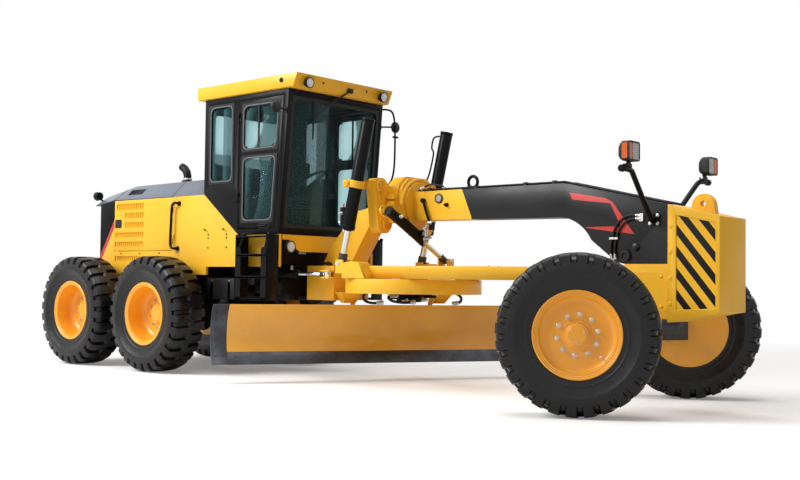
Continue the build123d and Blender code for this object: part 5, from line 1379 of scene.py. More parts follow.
# the ring, the casting behind it and two levers, cast and then milled flat where pins pass
CASTING = [(-0.24, 1.70), (0.24, 1.70), (0.29, 1.78), (0.30, 2.0), (0.27, 2.1), (0.17, 2.19), (-0.17, 2.19),
           (-0.27, 2.1), (-0.30, 2.0), (-0.29, 1.78)]
LEVER = [(0.23, 1.66), (0.29, 1.59), (0.40, 1.59), (0.44, 1.64), (0.50, 2.06), (0.49, 2.135), (0.44, 2.165),
         (0.36, 2.165), (0.27, 2.08), (0.19, 1.93)]
LEVER_PINS = [(0.42, 2.085, 0.064), (0.315, 1.685, 0.07)]
casting = Shape()
casting.slab(rounded(CASTING, 0.035), 0.0, 0.15, cross_plane(0.715))
casting.slab(rounded(grown(CASTING, -0.022), 0.03), 0.0, 0.04, cross_plane(0.865))
collar = [(0.295, 0.0), (0.295, 0.02), (0.285, 0.03), (0.268, 0.03), (0.262, 0.022), (0.256, 0.022),
          (0.25, 0.045), (0.001, 0.045)]
casting.spin(collar, axis_frame((0.905, 0, 1.885), (1, 0, 0)), 56)
for side in (1, -1):
    for z in (1.83, 1.9, 1.97):
        casting.block((0.81, side * 0.318, z), (0.1, 0.05, 0.045))
    casting.block((0.77, side * 0.25, 1.78), (0.12, 0.14, 0.16))
lock_ring = Matrix.Translation((0, 0, 1.885)) @ cross_plane(0.933)
casting.bolt_ring(lock_ring, 0.276, 10, 0.0, 0.009, 0.009, first=18)
casting.piece("saddle_casting", yellow_paint, "front_body", edge=0.006)
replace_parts(bpy.data.objects["saddle_casting"], "saddle")

for name, side in SIDES:
    lever = Shape()
    outline = [(side * u, v) for u, v in LEVER][::side]
    lever.slab(rounded(outline, 0.03), 0.0, 0.125, cross_plane(0.615))
    lever.slab(rounded(grown(outline, -0.03), 0.02), 0.0, 0.135, cross_plane(0.61))
    lever.block((0.64, side * 0.517, 2.092), (0.1, 0.056, 0.08))
    for y, z, radius in LEVER_PINS:
        for x, facing in ((0.74, 1), (0.615, -1)):
            hub = [(radius, -0.01), (radius, 0.014), (radius - 0.006, 0.02), (radius - 0.014, 0.02),
                   (radius - 0.018, 0.012), (0.001, 0.012)]
            lever.spin(hub, axis_frame((x, side * y, z), (facing, 0, 0)), 32)
            lever.block((x + facing * 0.015, side * y, z + 0.012), (0.014, 0.075, 0.018))
            lever.block((x + facing * 0.015, side * y, z - 0.014), (0.014, 0.06, 0.016))
    lever.piece(f"saddle_lever_{name}", yellow_paint, "front_body", edge=0.004)

# plate that holds the swing cylinder's upper end, and its pin
hanger = Shape()
arm = [(-0.22, 1.74), (-0.24, 1.66), (-0.59, 1.755), (-0.64, 1.79), (-0.63, 1.84), (-0.59, 1.86),
       (-0.3, 1.89)]
hanger.slab(rounded(arm[::-1], 0.03), 0.0, 0.022, cross_plane(0.925))
hanger.spin([(0.021, -0.02), (0.021, 0.04)], axis_frame((0.925, -0.59, 1.805), (1, 0, 0)), 20)
hanger.piece("swing_cylinder_hanger", yellow_paint, "front_body", edge=0.003)

# %% [markdown]
# Each head lamp is a moulded housing on a bent post. Its front is parted in two: an
# amber window on the outer side is the turning light, and a clear one is the head
# light. A clamp under the housing lets it tilt. The plain solid has square housings,
# so rounded ones on smooth posts take its place.

# %% Head lamps
for name, side in SIDES:
    post = Shape()
    run = [(3.733, side * 0.14, 1.655), (3.733, side * 0.185, 1.655), (3.738, side * 0.232, 1.695),
           (3.752, side * 0.36, 1.815)]
    run += [(3.776, side * 0.565, 2.0), (3.787, side * 0.625, 2.042), (3.79, side * 0.7, 2.052),
            (3.79, side * 0.8, 2.052)]
    post.tube(smooth_path(run, 7), 0.0235, 16)
    post.spin([(0.03, -0.02), (0.03, 0.016), (0.026, 0.022), (0.001, 0.022)],
              axis_frame((3.79, side * 0.79, 2.052), (0, side, 0)), 20)
    post.slab(rounded(oblong(3.68, 1.607, 3.788, 1.712), 0.014), 0.0, 0.016, flank_plane(side, ARCH_SIDE))
    post.block((3.79, side * 0.7, 2.082), (0.05, 0.07, 0.03))
    post.block((3.8, side * 0.7, 2.103), (0.03, 0.03, 0.03))
    post.piece(f"lamp_post_{name}", black_paint, "front_body", edge=0.001)
    feet = Shape()
    for x, z in ((3.697, 1.624), (3.771, 1.624), (3.697, 1.695), (3.771, 1.695)):
        feet.bolt((x, side * (ARCH_SIDE + 0.016), z), (0, side, 0), 0.011, 0.009)
    feet.bolt((3.79, side * 0.667, 2.085), (0, -side, 0), 0.009, 0.006)
    feet.piece(f"lamp_post_bolts_{name}", zinc, "front_body")
    housing = Shape()
    middle = side * 0.73
    face = oblong(middle - 0.093, 2.112, middle + 0.093, 2.278)
    for start, end, shrink in ((3.757, 3.777, -0.03), (3.777, 3.8, -0.012), (3.8, 3.862, 0.0)):
        housing.slab(rounded(grown(face, shrink), 0.03), start, end, cross_plane(0))
    inner = rounded(grown(face, -0.011), 0.024)
    housing.ring(rounded(face, 0.03), inner, 3.862, 3.874, cross_plane(0))
    housing.piece(f"lamp_housing_{name}", black_plastic, "front_body", edge=0.002)
    amber = oblong(middle + 0.03 * side, 2.124, middle + 0.08 * side, 2.266)[::side]
    clear = oblong(middle - 0.08 * side, 2.124, middle + 0.02 * side, 2.266)[::side]
    bowl = Shape()
    bowl.slab(rounded(clear, 0.012), 3.8602, 3.8608, cross_plane(0))
    bowl.spin([(0.018, 0.0), (0.016, 0.0012), (0.001, 0.0014)],
              axis_frame((3.8606, middle - side * 0.03, 2.195), (1, 0, 0)), 20)
    bowl.piece(f"lamp_bowl_{name}", bowl_chrome, "front_body")
    for part, outline, finish in (("turn", amber, amber_lens), ("head", clear, clear_lens)):
        window = Shape()
        window.slab(rounded(outline, 0.012), 3.861, 3.87, cross_plane(0))
        window.piece(f"lamp_{part}_lens_{name}", finish, "front_body", edge=0.003)
    wrap = Shape()
    wrap.slab(rounded(oblong(3.806, 2.13, 3.858, 2.26), 0.01), 0.822, 0.8245, flank_plane(side))
    wrap.piece(f"lamp_turn_side_{name}", amber_lens, "front_body")
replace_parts(bpy.data.objects["lamp_post_left"], "headlamps")

# %% [markdown]
# The nose carries ballast. Its lifting lug is a thick plate with a round top and one
# hole, and bolts hold the nose to the front leg.

# %% Nose and front leg
def lug_arc(radius, height, angles):
    """Points round the lug's middle, along the machine and up."""
    turns = [math.radians(angle) for angle in angles]
    return [(radius * math.cos(turn) + 4.14, radius * math.sin(turn) + height) for turn in turns]


lug = Shape()
top, hole = lug_arc(0.105, 1.772, range(0, 181, 12)), lug_arc(0.024, 1.79, range(0, 181, 12))
foot = [(4.02, 1.735), (4.06, 1.72), (4.14, 1.71), (4.22, 1.695), (4.26, 1.69)]
lug.ring(top + foot, hole + lug_arc(0.024, 1.79, (180, 225, 270, 315, 360)), -0.034, 0.034, flank_plane(1))
lug.piece("nose_lug", yellow_paint, "front_body", edge=0.003)
bolts = Shape()
for side in (1, -1):
    for z in (0.93, 1.15, 1.37, 1.59):
        bolts.bolt((3.95, side * 0.2535, z), (0, side, 0), 0.014, 0.004)
bolts.piece("nose_bolts", yellow_paint, "front_body")
leg = Shape()
for side in (1, -1):
    leg.slab(rounded(oblong(3.5, 0.86, 3.9, 1.2), 0.03), -0.001, 0.003, flank_plane(side, 0.2))
    for x, z in ((3.56, 0.9), (3.84, 0.9), (3.84, 1.16), (3.56, 1.16)):
        leg.bolt((x, side * 0.203, z), (0, side, 0), 0.013, 0.008)
leg.piece("front_leg_covers", yellow_paint, "front_body", edge=0.002)
print("nose and front leg are dressed")

# %% [markdown]
# Each hydraulic cylinder ends in a screwed gland with a wiper. A steel pipe runs up
# its barrel, because oil has to reach the far end too. The rod's end is a black forged
# eye. These pieces move with the barrel or the rod they sit on, so each is placed in a
# frame on the cylinder's own axis.

# %% Cylinder ends and pipes
def on_axis(base, top, distance):
    """A frame on a cylinder's axis, with z along it from base to top."""
    base, top = Vector(base), Vector(top)
    return axis_frame(base + (top - base).normalized() * distance, top - base)


def gland(name, base, top, distance, radius, rod, body):
    """Screwed end of a barrel with its notches and the wiper round the rod."""
    frame = on_axis(base, top, distance)
    shape = Shape()
    shape.spin([(radius, 0.05), (radius * 1.035, 0.046), (radius * 1.035, 0.012), (radius * 0.97, 0.001),
                (rod * 1.25, -0.004), (rod * 1.12, -0.012), (rod * 1.03, -0.012), (rod * 1.03, 0.04)],
               frame, 36, close=True)
    for step in range(8):
        turn = Matrix.Rotation(step * math.pi / 4, 4, "Z")
        shape.block((radius * 1.03, 0, 0.028), (radius * 0.05, 0.012, 0.03), frame @ turn)
    shape.piece(name, black_paint, body, edge=0.001)


def rod_end(name, base, top, rod, eye, body, width, across_axis):
    """Black forged sleeve of the rod, and the cheeks of its eye."""
    shape = Shape()
    frame = on_axis(base, top, 0)
    shape.spin([(rod * 1.3, eye * 0.9), (rod * 1.3, eye * 2.4), (rod * 1.22, eye * 2.6),
                (rod * 1.03, eye * 2.65)], frame, 28)
    for facing in (1, -1):
        cheek = axis_frame(Vector(base) + Vector(across_axis) * facing * width / 2,
                           Vector(across_axis) * facing)
        shape.spin([(eye * 1.01, -0.02), (eye * 1.01, -0.001), (eye * 0.9, 0.0006), (eye * 0.5, 0.0006)],
                   cheek, 32)
    shape.piece(name, cast_iron, body)


for name, side in SIDES:
    base, top = (0.41, side * 0.64, 1.265), (0.765, side * 0.64, 2.755)
    barrel, rod = f"{name}_lift_barrel", f"{name}_lift_rod"
    gland(f"lift_gland_{name}", base, top, 0.365, 0.068, 0.036, barrel)
    rod_end(f"lift_rod_end_{name}", base, top, 0.036, 0.042, rod, 0.08, (0, 1, 0))
    sleeve = Shape()
    sleeve.spin([(0.0915, -0.037), (0.0926, -0.034), (0.0926, 0.034), (0.0915, 0.037), (0.069, 0.037),
                 (0.069, -0.037)], on_axis(base, top, 0.848), 44, close=True)
    sleeve.block((0.555, side * 0.72, 2.09), (0.085, 0.035, 0.07))
    sleeve.spin([(0.036, -0.012), (0.036, 0.014), (0.03, 0.02), (0.012, 0.02), (0.01, 0.012),
                 (0.001, 0.012)], axis_frame((0.555, side * 0.738, 2.09), (0, side, 0)), 28)
    for z in (2.068, 2.112):
        sleeve.bolt((0.515, side * 0.72, z), (-1, 0, 0), 0.009, 0.008)
    sleeve.piece(f"lift_collar_{name}", yellow_paint, barrel, edge=0.002)
    cap = Shape()
    cap.spin([(0.069, -0.03), (0.0705, -0.028), (0.0705, -0.006), (0.066, 0.0008), (0.02, 0.0008),
              (0.018, 0.004), (0.001, 0.004)], on_axis(base, top, 1.532), 36)
    cap.piece(f"lift_cap_{name}", black_paint, barrel)
    line = [(0.425, 0.6, 1.88), (0.448, 0.575, 2.0), (0.5, 0.57, 2.15), (0.576, 0.57, 2.3),
            (0.633, 0.568, 2.513), (0.606, 0.57, 2.584), (0.63, 0.575, 2.69), (0.7, 0.59, 2.71)]
    hose_run(f"lift_pipe_{name}", [(x, side * y, z) for x, y, z in line], 0.0095, barrel, black_paint,
             ends=False, steps=6)
    valve = Shape()
    valve.block((0.423, side * 0.62, 1.76), (0.06, 0.075, 0.19))
    valve.block((0.435, side * 0.635, 1.655), (0.05, 0.05, 0.04))
    valve.block((0.47, side * 0.63, 1.72), (0.08, 0.06, 0.05))
    valve.piece(f"lift_valve_{name}", black_paint, barrel, edge=0.004)
    fittings = Shape()
    for at, facing in (((0.42, 0.6, 1.857), (0, 0, 1)), ((0.425, 0.645, 1.857), (0, 0, 1)),
                       ((0.392, 0.61, 1.8), (-1, 0, 0)), ((0.392, 0.63, 1.7), (-1, 0, 0)),
                       ((0.43, 0.635, 1.633), (0, 0, -1)), ((0.423, 0.66, 1.79), (0, 1, 0))):
        hose_end(fittings, (at[0], side * at[1], at[2]), (facing[0], side * facing[1], facing[2]), 0.0085)
    fittings.piece(f"lift_fittings_{name}", zinc, barrel)

base, top = (1.01, 0.33, 1.312), (1.01, -0.59, 1.805)
gland("swing_gland", base, top, 0.4, 0.05, 0.028, "swing_barrel")
rod_end("swing_rod_end", base, top, 0.028, 0.034, "swing_rod", 0.03, (1, 0, 0))
full = (Vector(top) - Vector(base)).length
cap = Shape()
cap.spin([(0.0505, -0.035), (0.052, -0.032), (0.052, -0.006), (0.047, 0.001), (0.001, 0.001)],
         on_axis(base, top, full), 32)
for distance in (0.48, 0.62, 0.9):
    cap.spin([(0.0505, -0.008), (0.0525, -0.006), (0.0525, 0.006), (0.0505, 0.008)],
             on_axis(base, top, distance), 32)
frame = on_axis(base, top, 0)
cap.block((0.062, 0.02, 0.5), (0.04, 0.07, 0.12), frame)
cap.piece("swing_barrel_bands", black_paint, "swing_barrel", edge=0.001)
fittings = Shape()
for u, v, w, facing in ((0.084, 0.02, 0.465, (1, 0, 0)), (0.084, 0.02, 0.535, (1, 0, 0)),
                        (0.084, -0.015, 0.5, (1, 0, -0.3)), (0.06, -0.014, 0.45, (0.3, -1, 0)),
                        (0.052, 0, 0.9, (1, 0, 0.6))):
    at = frame @ Vector((u, v, w))
    hose_end(fittings, at, frame.to_3x3() @ Vector(facing), 0.011)
fittings.piece("swing_fittings", zinc, "swing_barrel")
for u, v, low, high in ((0.06, 0.02, 0.565, 0.88), (0.055, -0.02, 0.565, 0.95)):
    points = [(u, v, low), (u + 0.004, v, low + 0.05), (u + 0.004, v, high - 0.05), (u - 0.006, v, high)]
    hose_run(f"swing_pipe_{'upper' if v > 0 else 'lower'}", [frame @ Vector(p) for p in points], 0.009,
             "swing_barrel", black_paint, ends=False)
pin = Shape()
pin.spin([(0.016, -0.09), (0.016, 0.09)], axis_frame(base, (1, 0, 0)), 20)
for facing in (1, -1):
    pin.bolt((1.01 + facing * 0.084, 0.33, 1.312), (facing, 0, 0), 0.016, 0.01)
pin.piece("swing_pin", zinc, "drawbar_body")

# %% [markdown]
# The drawbar is a flat welded box that pulls the blade. Round-topped lugs at its rear
# corners hold the lift rods. The circle hangs below it on shoes. A swivel in its middle
# brings oil to the cylinder behind the blade, and its hoses hang in two bows.

# %% Drawbar lugs, shoes and swivel
for name, side in SIDES:
    lug = Shape()
    profile = [(0.478, 1.114), (0.8, 1.114), (0.8, 1.14), (0.735, 1.262), (0.7, 1.285), (0.53, 1.286),
               (0.478, 1.245)]
    lug.slab(rounded(profile, 0.024), 0.0, 0.149, flank_plane(side, 0.5555))
    lug.piece(f"drawbar_lug_{name}", yellow_paint, "drawbar_body", edge=0.005)
    pin = Shape()
    pin.spin([(0.02, -0.1), (0.02, 0.012), (0.017, 0.016)],
             axis_frame((0.41, side * 0.692, 1.265), (0, side, 0)), 22)
    pin.block((0.41, side * 0.7, 1.265), (0.07, 0.008, 0.022))
    pin.bolt((0.438, side * 0.703, 1.265), (0, side, 0), 0.007, 0.003)
    pin.piece(f"lift_pin_{name}", zinc, "drawbar_body")

seams = Shape()
weld_line = [(0.66, 0.585), (1.5, 0.585), (2.1, 0.326), (3.1, 0.09)]
for side in (1, -1):
    seams.tube([(x, side * (y - 0.03), 1.2405) for x, y in weld_line], 0.005, 8)
    seams.block((1.75, side * 0.2, 1.243), (0.5, 0.02, 0.012))
for x in (1.2, 1.9, 2.5):
    seams.block((x, 0, 1.243), (0.14, 0.22, 0.012))
    for y in (-0.08, 0.08):
        seams.bolt((x, y, 1.249), (0, 0, 1), 0.011, 0.008)
seams.piece("drawbar_seams", yellow_paint, "drawbar_body", edge=0.002)

CIRCLE_X = 0.85
shoes = Shape()
for angle in (50, 130, 230, 310):
    turn = Matrix.Translation((CIRCLE_X, 0, 0)) @ Matrix.Rotation(math.radians(angle), 4, "Z")
    for y in (-0.035, 0.035):
        at = turn @ Vector((0.655, y, 1.171))
        shoes.bolt(at, (0, 0, 1), 0.012, 0.009)
shoes.piece("shoe_bolts", zinc, "drawbar_body")

swivel = Shape()
swivel.spin([(0.15, 1.114), (0.15, 1.09), (0.125, 1.085), (0.125, 0.99), (0.11, 0.985), (0.11, 0.93),
             (0.07, 0.92), (0.07, 0.87), (0.001, 0.87)], Matrix.Translation((CIRCLE_X, 0, 0)), 36)
swivel.block((0.78, -0.16, 0.95), (0.16, 0.14, 0.1))
swivel.block((0.93, 0.15, 0.96), (0.13, 0.12, 0.09))
swivel.block((0.85, -0.05, 0.9), (0.3, 0.1, 0.05))
swivel.piece("oil_swivel", black_paint, "drawbar_body", edge=0.004)
ports = Shape()
for at, facing in (((0.7, -0.16, 0.96), (-1, 0, 0)), ((0.78, -0.235, 0.96), (0, -1, 0)),
                   ((0.83, -0.235, 0.94), (0, -1, 0)), ((1.0, -0.03, 0.9), (1, 0, 0)),
                   ((0.93, 0.215, 0.96), (0, 1, 0)), ((1.0, 0.15, 0.97), (1, 0, 0)),
                   ((0.85, -0.1, 0.9), (0, -1, -0.4))):
    hose_end(ports, at, facing, 0.014)
ports.piece("swivel_ports", zinc, "drawbar_body")
loops = {
    "near": [(0.66, -0.17, 0.965), (0.56, -0.22, 0.985), (0.46, -0.28, 0.975), (0.42, -0.31, 0.93),
             (0.43, -0.3, 0.88), (0.5, -0.26, 0.855), (0.6, -0.2, 0.862)],
    "far": [(1.05, 0.13, 0.97), (1.14, 0.17, 0.985), (1.24, 0.22, 0.97), (1.3, 0.24, 0.93),
            (1.29, 0.24, 0.88), (1.22, 0.21, 0.86)],
    "cross": [(0.8, -0.28, 0.945), (0.82, -0.36, 0.92), (0.9, -0.38, 0.885), (0.98, -0.3, 0.87),
              (1.0, -0.16, 0.875)],
}
for name, points in loops.items():
    hose_run(f"swivel_hose_{name}", points, 0.0145, "drawbar_body")
print("drawbar and swivel are dressed")

# %% [markdown]
# Blade, carrier and circle all move, and they stand at an angle to the machine. Their
# pieces are therefore written in the blade's own frame: x ahead of it, y along it and
# z up. A blade is bent like a piece of a large pipe, so the place and the slope of a
# bolt come from that arc.

# %% Frame of the blade
BLADE_TURN = math.radians(28)
blade_frame = Matrix.Translation((0.312, 0.007, 0)) @ Matrix.Rotation(-BLADE_TURN, 4, "Z")
ARC_RADIUS, ARC_X, ARC_Z = 0.45, 0.39, 0.5
CIRCLE_Y = (blade_frame.inverted() @ Vector((CIRCLE_X, 0, 0))).y


def on_blade(y, z, proud=0.0):
    """Place and facing on the blade's hollow front at a height."""
    out = Vector((math.sqrt(ARC_RADIUS ** 2 - (z - ARC_Z) ** 2), 0, ARC_Z - z)) / ARC_RADIUS
    at = Vector((ARC_X, y, ARC_Z)) - Vector((out.x, 0, out.z)) * (ARC_RADIUS - proud)
    return at, out


def turned(at, facing):
    return blade_frame @ Vector(at), blade_frame.to_3x3() @ Vector(facing)


print("blade turned by:", round(math.degrees(BLADE_TURN), 1), "degrees")

# %% [markdown]
# The parts of a blade that wear are bolted on: a flat edge along its foot, held by
# sunk bolts, and a bit at each end, held by two rows. The same bolts show as nuts on
# the back. A bar stiffens the foot, and stops close the ends of the sliding rails.

# %% Bolts of the end bits and of the edge
EDGE_BOLTS = 21
bit_bolts, edge_bolts = Shape(), Shape()
for end in (-1, 1):
    for z in (0.3, 0.39, 0.48, 0.57, 0.66, 0.75):
        for step in (0.045, 0.125):
            at, out = turned(*on_blade(end * (1.8 - step), z))
            bit_bolts.bolt(at, out, 0.0125, 0.007)
bit_bolts.piece("end_bit_bolts", edge_steel, "blade")
# the bolts lie a third of the way down the sloping edge, which faces ahead and up
bolt_x, bolt_z = -0.0267 + 0.0667 * 0.35, 0.33 - 0.13 * 0.35
face = Vector((0.89, 0, 0.457))
for step in range(EDGE_BOLTS):
    y = -1.55 + step * 0.155
    at, out = turned(Vector((bolt_x, y, bolt_z)), face)
    frame = axis_frame(at, out)
    edge_bolts.spin([(0.016, -0.002), (0.016, 0.0015), (0.012, 0.003), (0.001, 0.003)], frame, 20)
    back, out = turned(Vector((bolt_x - 0.0275, y, bolt_z - 0.003)), -face)
    edge_bolts.bolt(back, out, 0.015, 0.016)
edge_bolts.piece("edge_bolts", edge_steel, "blade")

# a flat bar stiffens the foot of the blade, and stops close the ends of its rails
bars = Shape()
at, out = on_blade(0, 0.36, -0.0225)
bars.block(at - Vector((0.012, 0, 0)), (0.022, 3.2, 0.03), blade_frame)
bars.piece("blade_back_bars", blade_paint, "blade", edge=0.002)
wear = Shape()
for z in (0.43, 0.68):
    back = ARC_X - math.sqrt((ARC_RADIUS + 0.022) ** 2 - (z - ARC_Z) ** 2) - 0.05
    for end in (-1, 1):
        wear.block((back + 0.03, end * 1.494, z), (0.066, 0.012, 0.062), blade_frame)
        wear.bolt(*turned((back + 0.03, end * 1.5, z), (0, end, 0)), 0.014, 0.009)
wear.piece("rail_stops", black_paint, "blade", edge=0.001)
print("bolts along the edge:", EDGE_BOLTS)

# %% [markdown]
# The circle is a ring gear that hangs on shoes. Its arms are boxes of plate that slant
# down to the blade, and the blade pitches on pins at their feet. The teeth point
# inwards, out of the dirt, where the pinion of the turning motor meets them.

# %% Arms under the circle, pitch pins and teeth
for name, side in SIDES:
    box = Shape()
    middle = CIRCLE_Y + side * 0.46
    near, far = middle + side * 0.016, middle + side * 0.2
    points = [(-0.195, near, 0.845), (-0.06, near, 0.845), (0.03, near, 0.962), (-0.2, near, 0.962)]
    points += [(-0.195, far - side * 0.07, 0.845), (-0.06, far - side * 0.07, 0.845), (0.03, far, 0.962),
               (-0.2, far, 0.962)]
    box.add(points, [(0, 1, 2, 3), (7, 6, 5, 4), (0, 4, 5, 1), (1, 5, 6, 2), (2, 6, 7, 3), (3, 7, 4, 0)],
            blade_frame)
    box.piece(f"circle_arm_box_{name}", yellow_paint, "circle_body", edge=0.004)
    pin = Shape()
    at, out = turned((-0.17, CIRCLE_Y + side * 0.476, 0.33), (0, side, 0))
    pin.spin([(0.05, 0.0), (0.05, 0.008), (0.045, 0.012), (0.001, 0.012)], axis_frame(at, out), 30)
    pin.bolt_ring(axis_frame(at, out), 0.034, 3, 0.011, 0.008, 0.006)
    pin.piece(f"pitch_pin_cap_{name}", black_paint, "carrier", edge=0.001)
ring = Shape()
TEETH = 72
for step in range(TEETH):
    turn = Matrix.Translation((CIRCLE_X, 0, 1.02)) @ Matrix.Rotation(2 * math.pi * step / TEETH, 4, "Z")
    ring.block((0.584, 0, 0), (0.022, 0.026, 0.09), turn)
ring.piece("circle_teeth", edge_steel, "circle_body", edge=0.003)
print("blade is dressed; teeth on the circle:", TEETH)

# %% [markdown]
# The machine bends at a tall pin between two ears. Caps with bolts keep the pin in
# place, and a bundle of hoses crosses beside it in slack bows, because the gap opens
# and closes as the machine turns. Two cylinders beside the pin do the turning.

# %% The bend and its cylinders
pivot = (-0.64, 0.0)
caps = Shape()
for z, facing in ((1.2505, 1), (0.8445, -1)):
    frame = axis_frame((pivot[0], 0, z), (0, 0, facing))
    caps.spin([(0.085, -0.012), (0.085, 0.006), (0.078, 0.011), (0.001, 0.011)], frame, 36)
    caps.bolt_ring(frame, 0.06, 6, 0.01, 0.01, 0.0005 if facing > 0 else 0.008, first=30)
    caps.spin([(0.012, 0.01), (0.012, 0.0115)], frame, 12)
caps.piece("bend_pin_caps", chassis_paint, "rear_body", edge=0.001)
for index, (y, drop) in enumerate(((0.12, 0.0), (0.155, 0.02), (-0.12, 0.01), (-0.155, 0.03))):
    points = [(-0.46, y, 1.215), (-0.4, y, 1.262), (-0.33, y, 1.285), (-0.27, y * 1.02, 1.29 - drop),
              (-0.24, y * 1.04, 1.26)]
    hose_run(f"bend_hose_{index + 1}", points, 0.012, "front_body", ends=False)

for name, side in SIDES:
    base, top = (0.03, side * 0.47, 1.155), (-1.12, side * 0.47, 1.155)
    barrel, rod = f"{name}_turn_barrel", f"{name}_turn_rod"
    gland(f"turn_gland_{name}", base, top, 0.45, 0.048, 0.024, barrel)
    eye = Shape()
    eye.spin([(0.034, 0.045), (0.034, 0.085), (0.03, 0.095), (0.0245, 0.098)], on_axis(base, top, 0), 26)
    eye.piece(f"turn_rod_end_{name}", cast_iron, rod)
    pin = Shape()
    for z, facing in ((1.2015, 1), (1.1085, -1)):
        frame = axis_frame((0.03, side * 0.47, z), (0, 0, facing))
        pin.spin([(0.027, -0.004), (0.027, 0.006), (0.023, 0.009), (0.001, 0.009)], frame, 26)
        pin.block((0, -0.02, 0.012), (0.02, 0.05, 0.006), frame)
        pin.bolt(frame @ Vector((0, -0.036, 0.013)), (0, 0, facing), 0.007, 0.005)
    pin.piece(f"turn_pin_{name}", zinc, "front_body")
    for step, distance in enumerate((0.56, 1.02)):
        frame = on_axis(base, top, distance)
        port = Shape()
        hose_end(port, (frame.translation.x, side * 0.47, 1.2), (0, 0, 1), 0.01)
        port.piece(f"turn_port_{name}_{step + 1}", zinc, barrel)
    hose_run(f"turn_pipe_{name}", [(-0.53, side * 0.47, 1.2105), (-0.6, side * 0.475, 1.214),
                                   (-0.8, side * 0.475, 1.21), (-0.96, side * 0.47, 1.2085)], 0.006, barrel,
             black_paint, ends=False)
print("the bend is dressed")

# %% [markdown]
# Each tandem case is a long steel box that holds the chains to two wheels. A round
# cover closes its middle, and it has small hand hole covers and a breather.

# %% Tandem cases, hubs and rear frame
case_x, case_z = -2.95, 0.675
for name, side in SIDES:
    outer = 0.86
    covers = Shape()
    for facing, y in ((side, side * outer), (-side, side * 0.64)):
        frame = axis_frame((case_x, y, case_z), (0, facing, 0))
        if facing == side:
            covers.spin([(0.15, -0.004), (0.15, 0.01), (0.143, 0.014), (0.08, 0.014), (0.076, 0.022),
                         (0.001, 0.022)], frame, 40)
            covers.bolt_ring(frame, 0.128, 12, 0.012, 0.009, 0.007)
        for x in (case_x - 0.42, case_x + 0.42):
            plate = rounded(oblong(x - 0.08, 0.6, x + 0.08, 0.75), 0.02)
            covers.slab(plate, -0.003, 0.009, flank_plane(facing, abs(y) if facing == side else -abs(y)))
            for dx, dz in ((-0.06, -0.055), (0.06, -0.055), (0.06, 0.055), (-0.06, 0.055)):
                covers.bolt((x + dx, y + facing * 0.009, 0.675 + dz), (0, facing, 0), 0.008, 0.006)
    covers.spin([(0.016, 0.0), (0.016, 0.02), (0.012, 0.03), (0.02, 0.034), (0.02, 0.05), (0.014, 0.056)],
                Matrix.Translation((case_x + 0.2, side * 0.76, 0.9045)), 20)
    covers.piece(f"tandem_covers_{name}", chassis_paint, "rear_body", edge=0.001)
axle_bands = Shape()
for reach, radius in ((0.325, 0.199), (0.225, 0.249)):
    for side in (1, -1):
        frame = axis_frame((case_x, side * reach, case_z), (0, side, 0))
        axle_bands.spin([(radius, -0.02), (radius + 0.006, -0.015), (radius + 0.006, 0.0),
                         (radius - 0.01, 0.002)], frame, 48)
        axle_bands.bolt_ring(frame, radius - 0.02, 16, 0.002, 0.009, 0.008)
axle_bands.bolt((case_x, 0, case_z - 0.247), (0, 0, -1), 0.018, 0.012)
axle_bands.piece("rear_axle_flanges", chassis_paint, "rear_body")

tail = Shape()
for side in (1, -1):
    for z in (0.85, 1.08):
        for y in (0.3, 0.15):
            tail.bolt((-4.04, side * y, z), (-1, 0, 0), 0.014, 0.01)
tail.spin([(0.02, -0.085), (0.02, 0.05), (0.026, 0.052), (0.026, 0.068), (0.02, 0.072)],
          axis_frame((-4.1, 0, 0.86), (0, 0, 1)), 20)
tail.tube([(-4.1, -0.03, 0.925), (-4.1, 0.03, 0.925), (-4.1, 0.05, 0.94)], 0.006, 8)
tail.piece("tow_pin_and_bolts", zinc, "rear_body")

# straps on the tanks beside the frame
for name, side in SIDES:
    low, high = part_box("side_tanks")
    straps = Shape()
    outer = high[1] if side > 0 else -low[1]
    for x in (-1.6, -1.29):
        straps.slab(rounded(oblong(x - 0.02, 0.862, x + 0.02, 1.098), 0.004), -0.001, 0.002,
                    flank_plane(side, outer - 0.002))
        straps.bolt((x, side * (outer - 0.002), 1.07), (0, side, 0), 0.008, 0.002)
    straps.piece(f"tank_straps_{name}", zinc, "rear_body")
print("tandem cases, axle, tow pin and tanks are dressed")

# %% [markdown]
# The front axle swings on one pin in the middle and turns its wheels on two kingpins.
# Each kingpin has a cap with a grease point, and the tie rod ends in screwed joints.

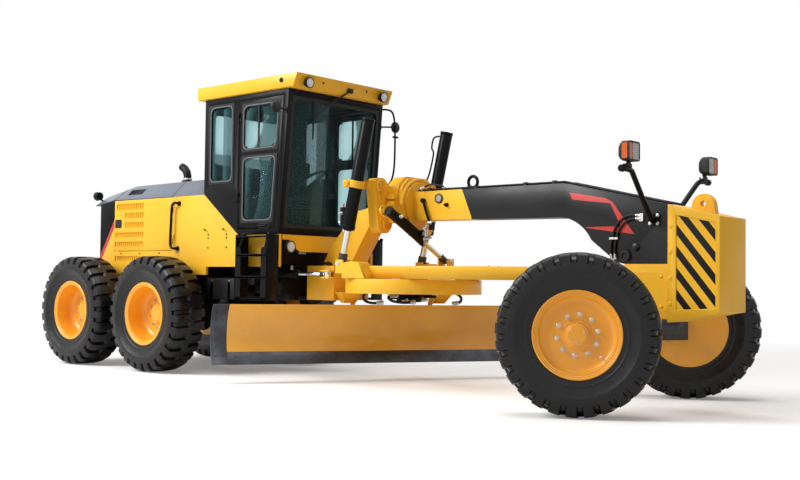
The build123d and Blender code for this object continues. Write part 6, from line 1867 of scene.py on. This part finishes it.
# %% Front axle, kingpins and tie rod
front_x, king_y = 3.5, 0.98
STEERING_ARM = 0.135
for name, side in SIDES:
    king = Shape()
    for z, facing in ((0.8, 1), (0.52, -1)):
        frame = axis_frame((front_x, side * king_y, z), (0, 0, facing))
        king.spin([(0.05, -0.003), (0.05, 0.008), (0.044, 0.013), (0.012, 0.013), (0.01, 0.022),
                   (0.006, 0.03), (0.001, 0.03)], frame, 32)
        king.bolt_ring(frame, 0.033, 4, 0.012, 0.007, 0.006, first=45)
    king.piece(f"kingpin_caps_{name}", cast_iron, f"{name}_knuckle")
    joint = Shape()
    arm_x, arm_y = STEERING_ARM * math.cos(STEERED), STEERING_ARM * math.sin(STEERED)
    at = (front_x - arm_x, side * king_y - arm_y, 0.6105)
    joint.spin([(0.028, 0.0), (0.028, 0.012), (0.016, 0.014), (0.016, 0.03)], axis_frame(at, (0, 0, 1)), 6)
    joint.spin([(0.034, -0.056), (0.036, -0.05), (0.036, -0.004), (0.03, 0.001)],
               axis_frame(at, (0, 0, 1)), 26)
    joint.piece(f"tie_rod_joint_{name}", zinc, "track_rod")
axle_cap = Shape()
for facing in (1, -1):
    frame = axis_frame((front_x + facing * 0.135, 0, 0.66), (facing, 0, 0))
    axle_cap.spin([(0.07, -0.003), (0.07, 0.008), (0.064, 0.014), (0.02, 0.014), (0.018, 0.02),
                   (0.001, 0.02)], frame, 36)
    axle_cap.bolt_ring(frame, 0.05, 6, 0.013, 0.009, 0.007)
axle_cap.piece("axle_pin_caps", cast_iron, "front_body")
# heights of the lower and the upper rib: inner low, outer low, outer high, inner high
AXLE_RIBS = [(0.6, 0.593, 0.609, 0.62), (0.735, 0.728, 0.743, 0.75)]
ribs = Shape()
for side in (1, -1):
    for facing in (1, -1):
        # the lower rib is on the front face alone
        for inner_low, outer_low, outer_high, inner_high in AXLE_RIBS if facing > 0 else AXLE_RIBS[1:]:
            rib = [(side * 0.25, inner_low), (side * 0.7, outer_low), (side * 0.7, outer_high),
                   (side * 0.25, inner_high)]
            ribs.slab(rib[::side], 0.0, 0.012, cross_plane(front_x + facing * 0.05, facing))
    hose = [(0.058, 0.15, 0.68), (0.06, 0.3, 0.675), (0.06, 0.45, 0.67), (0.06, 0.55, 0.68)]
    hose = [(front_x - back, side * y, z) for back, y, z in hose]
    hose_run(f"axle_hose_{'left' if side > 0 else 'right'}", hose, 0.009, "front_body", ends=False)
ribs.piece("front_axle_ribs", cast_iron, "front_body", edge=0.002)
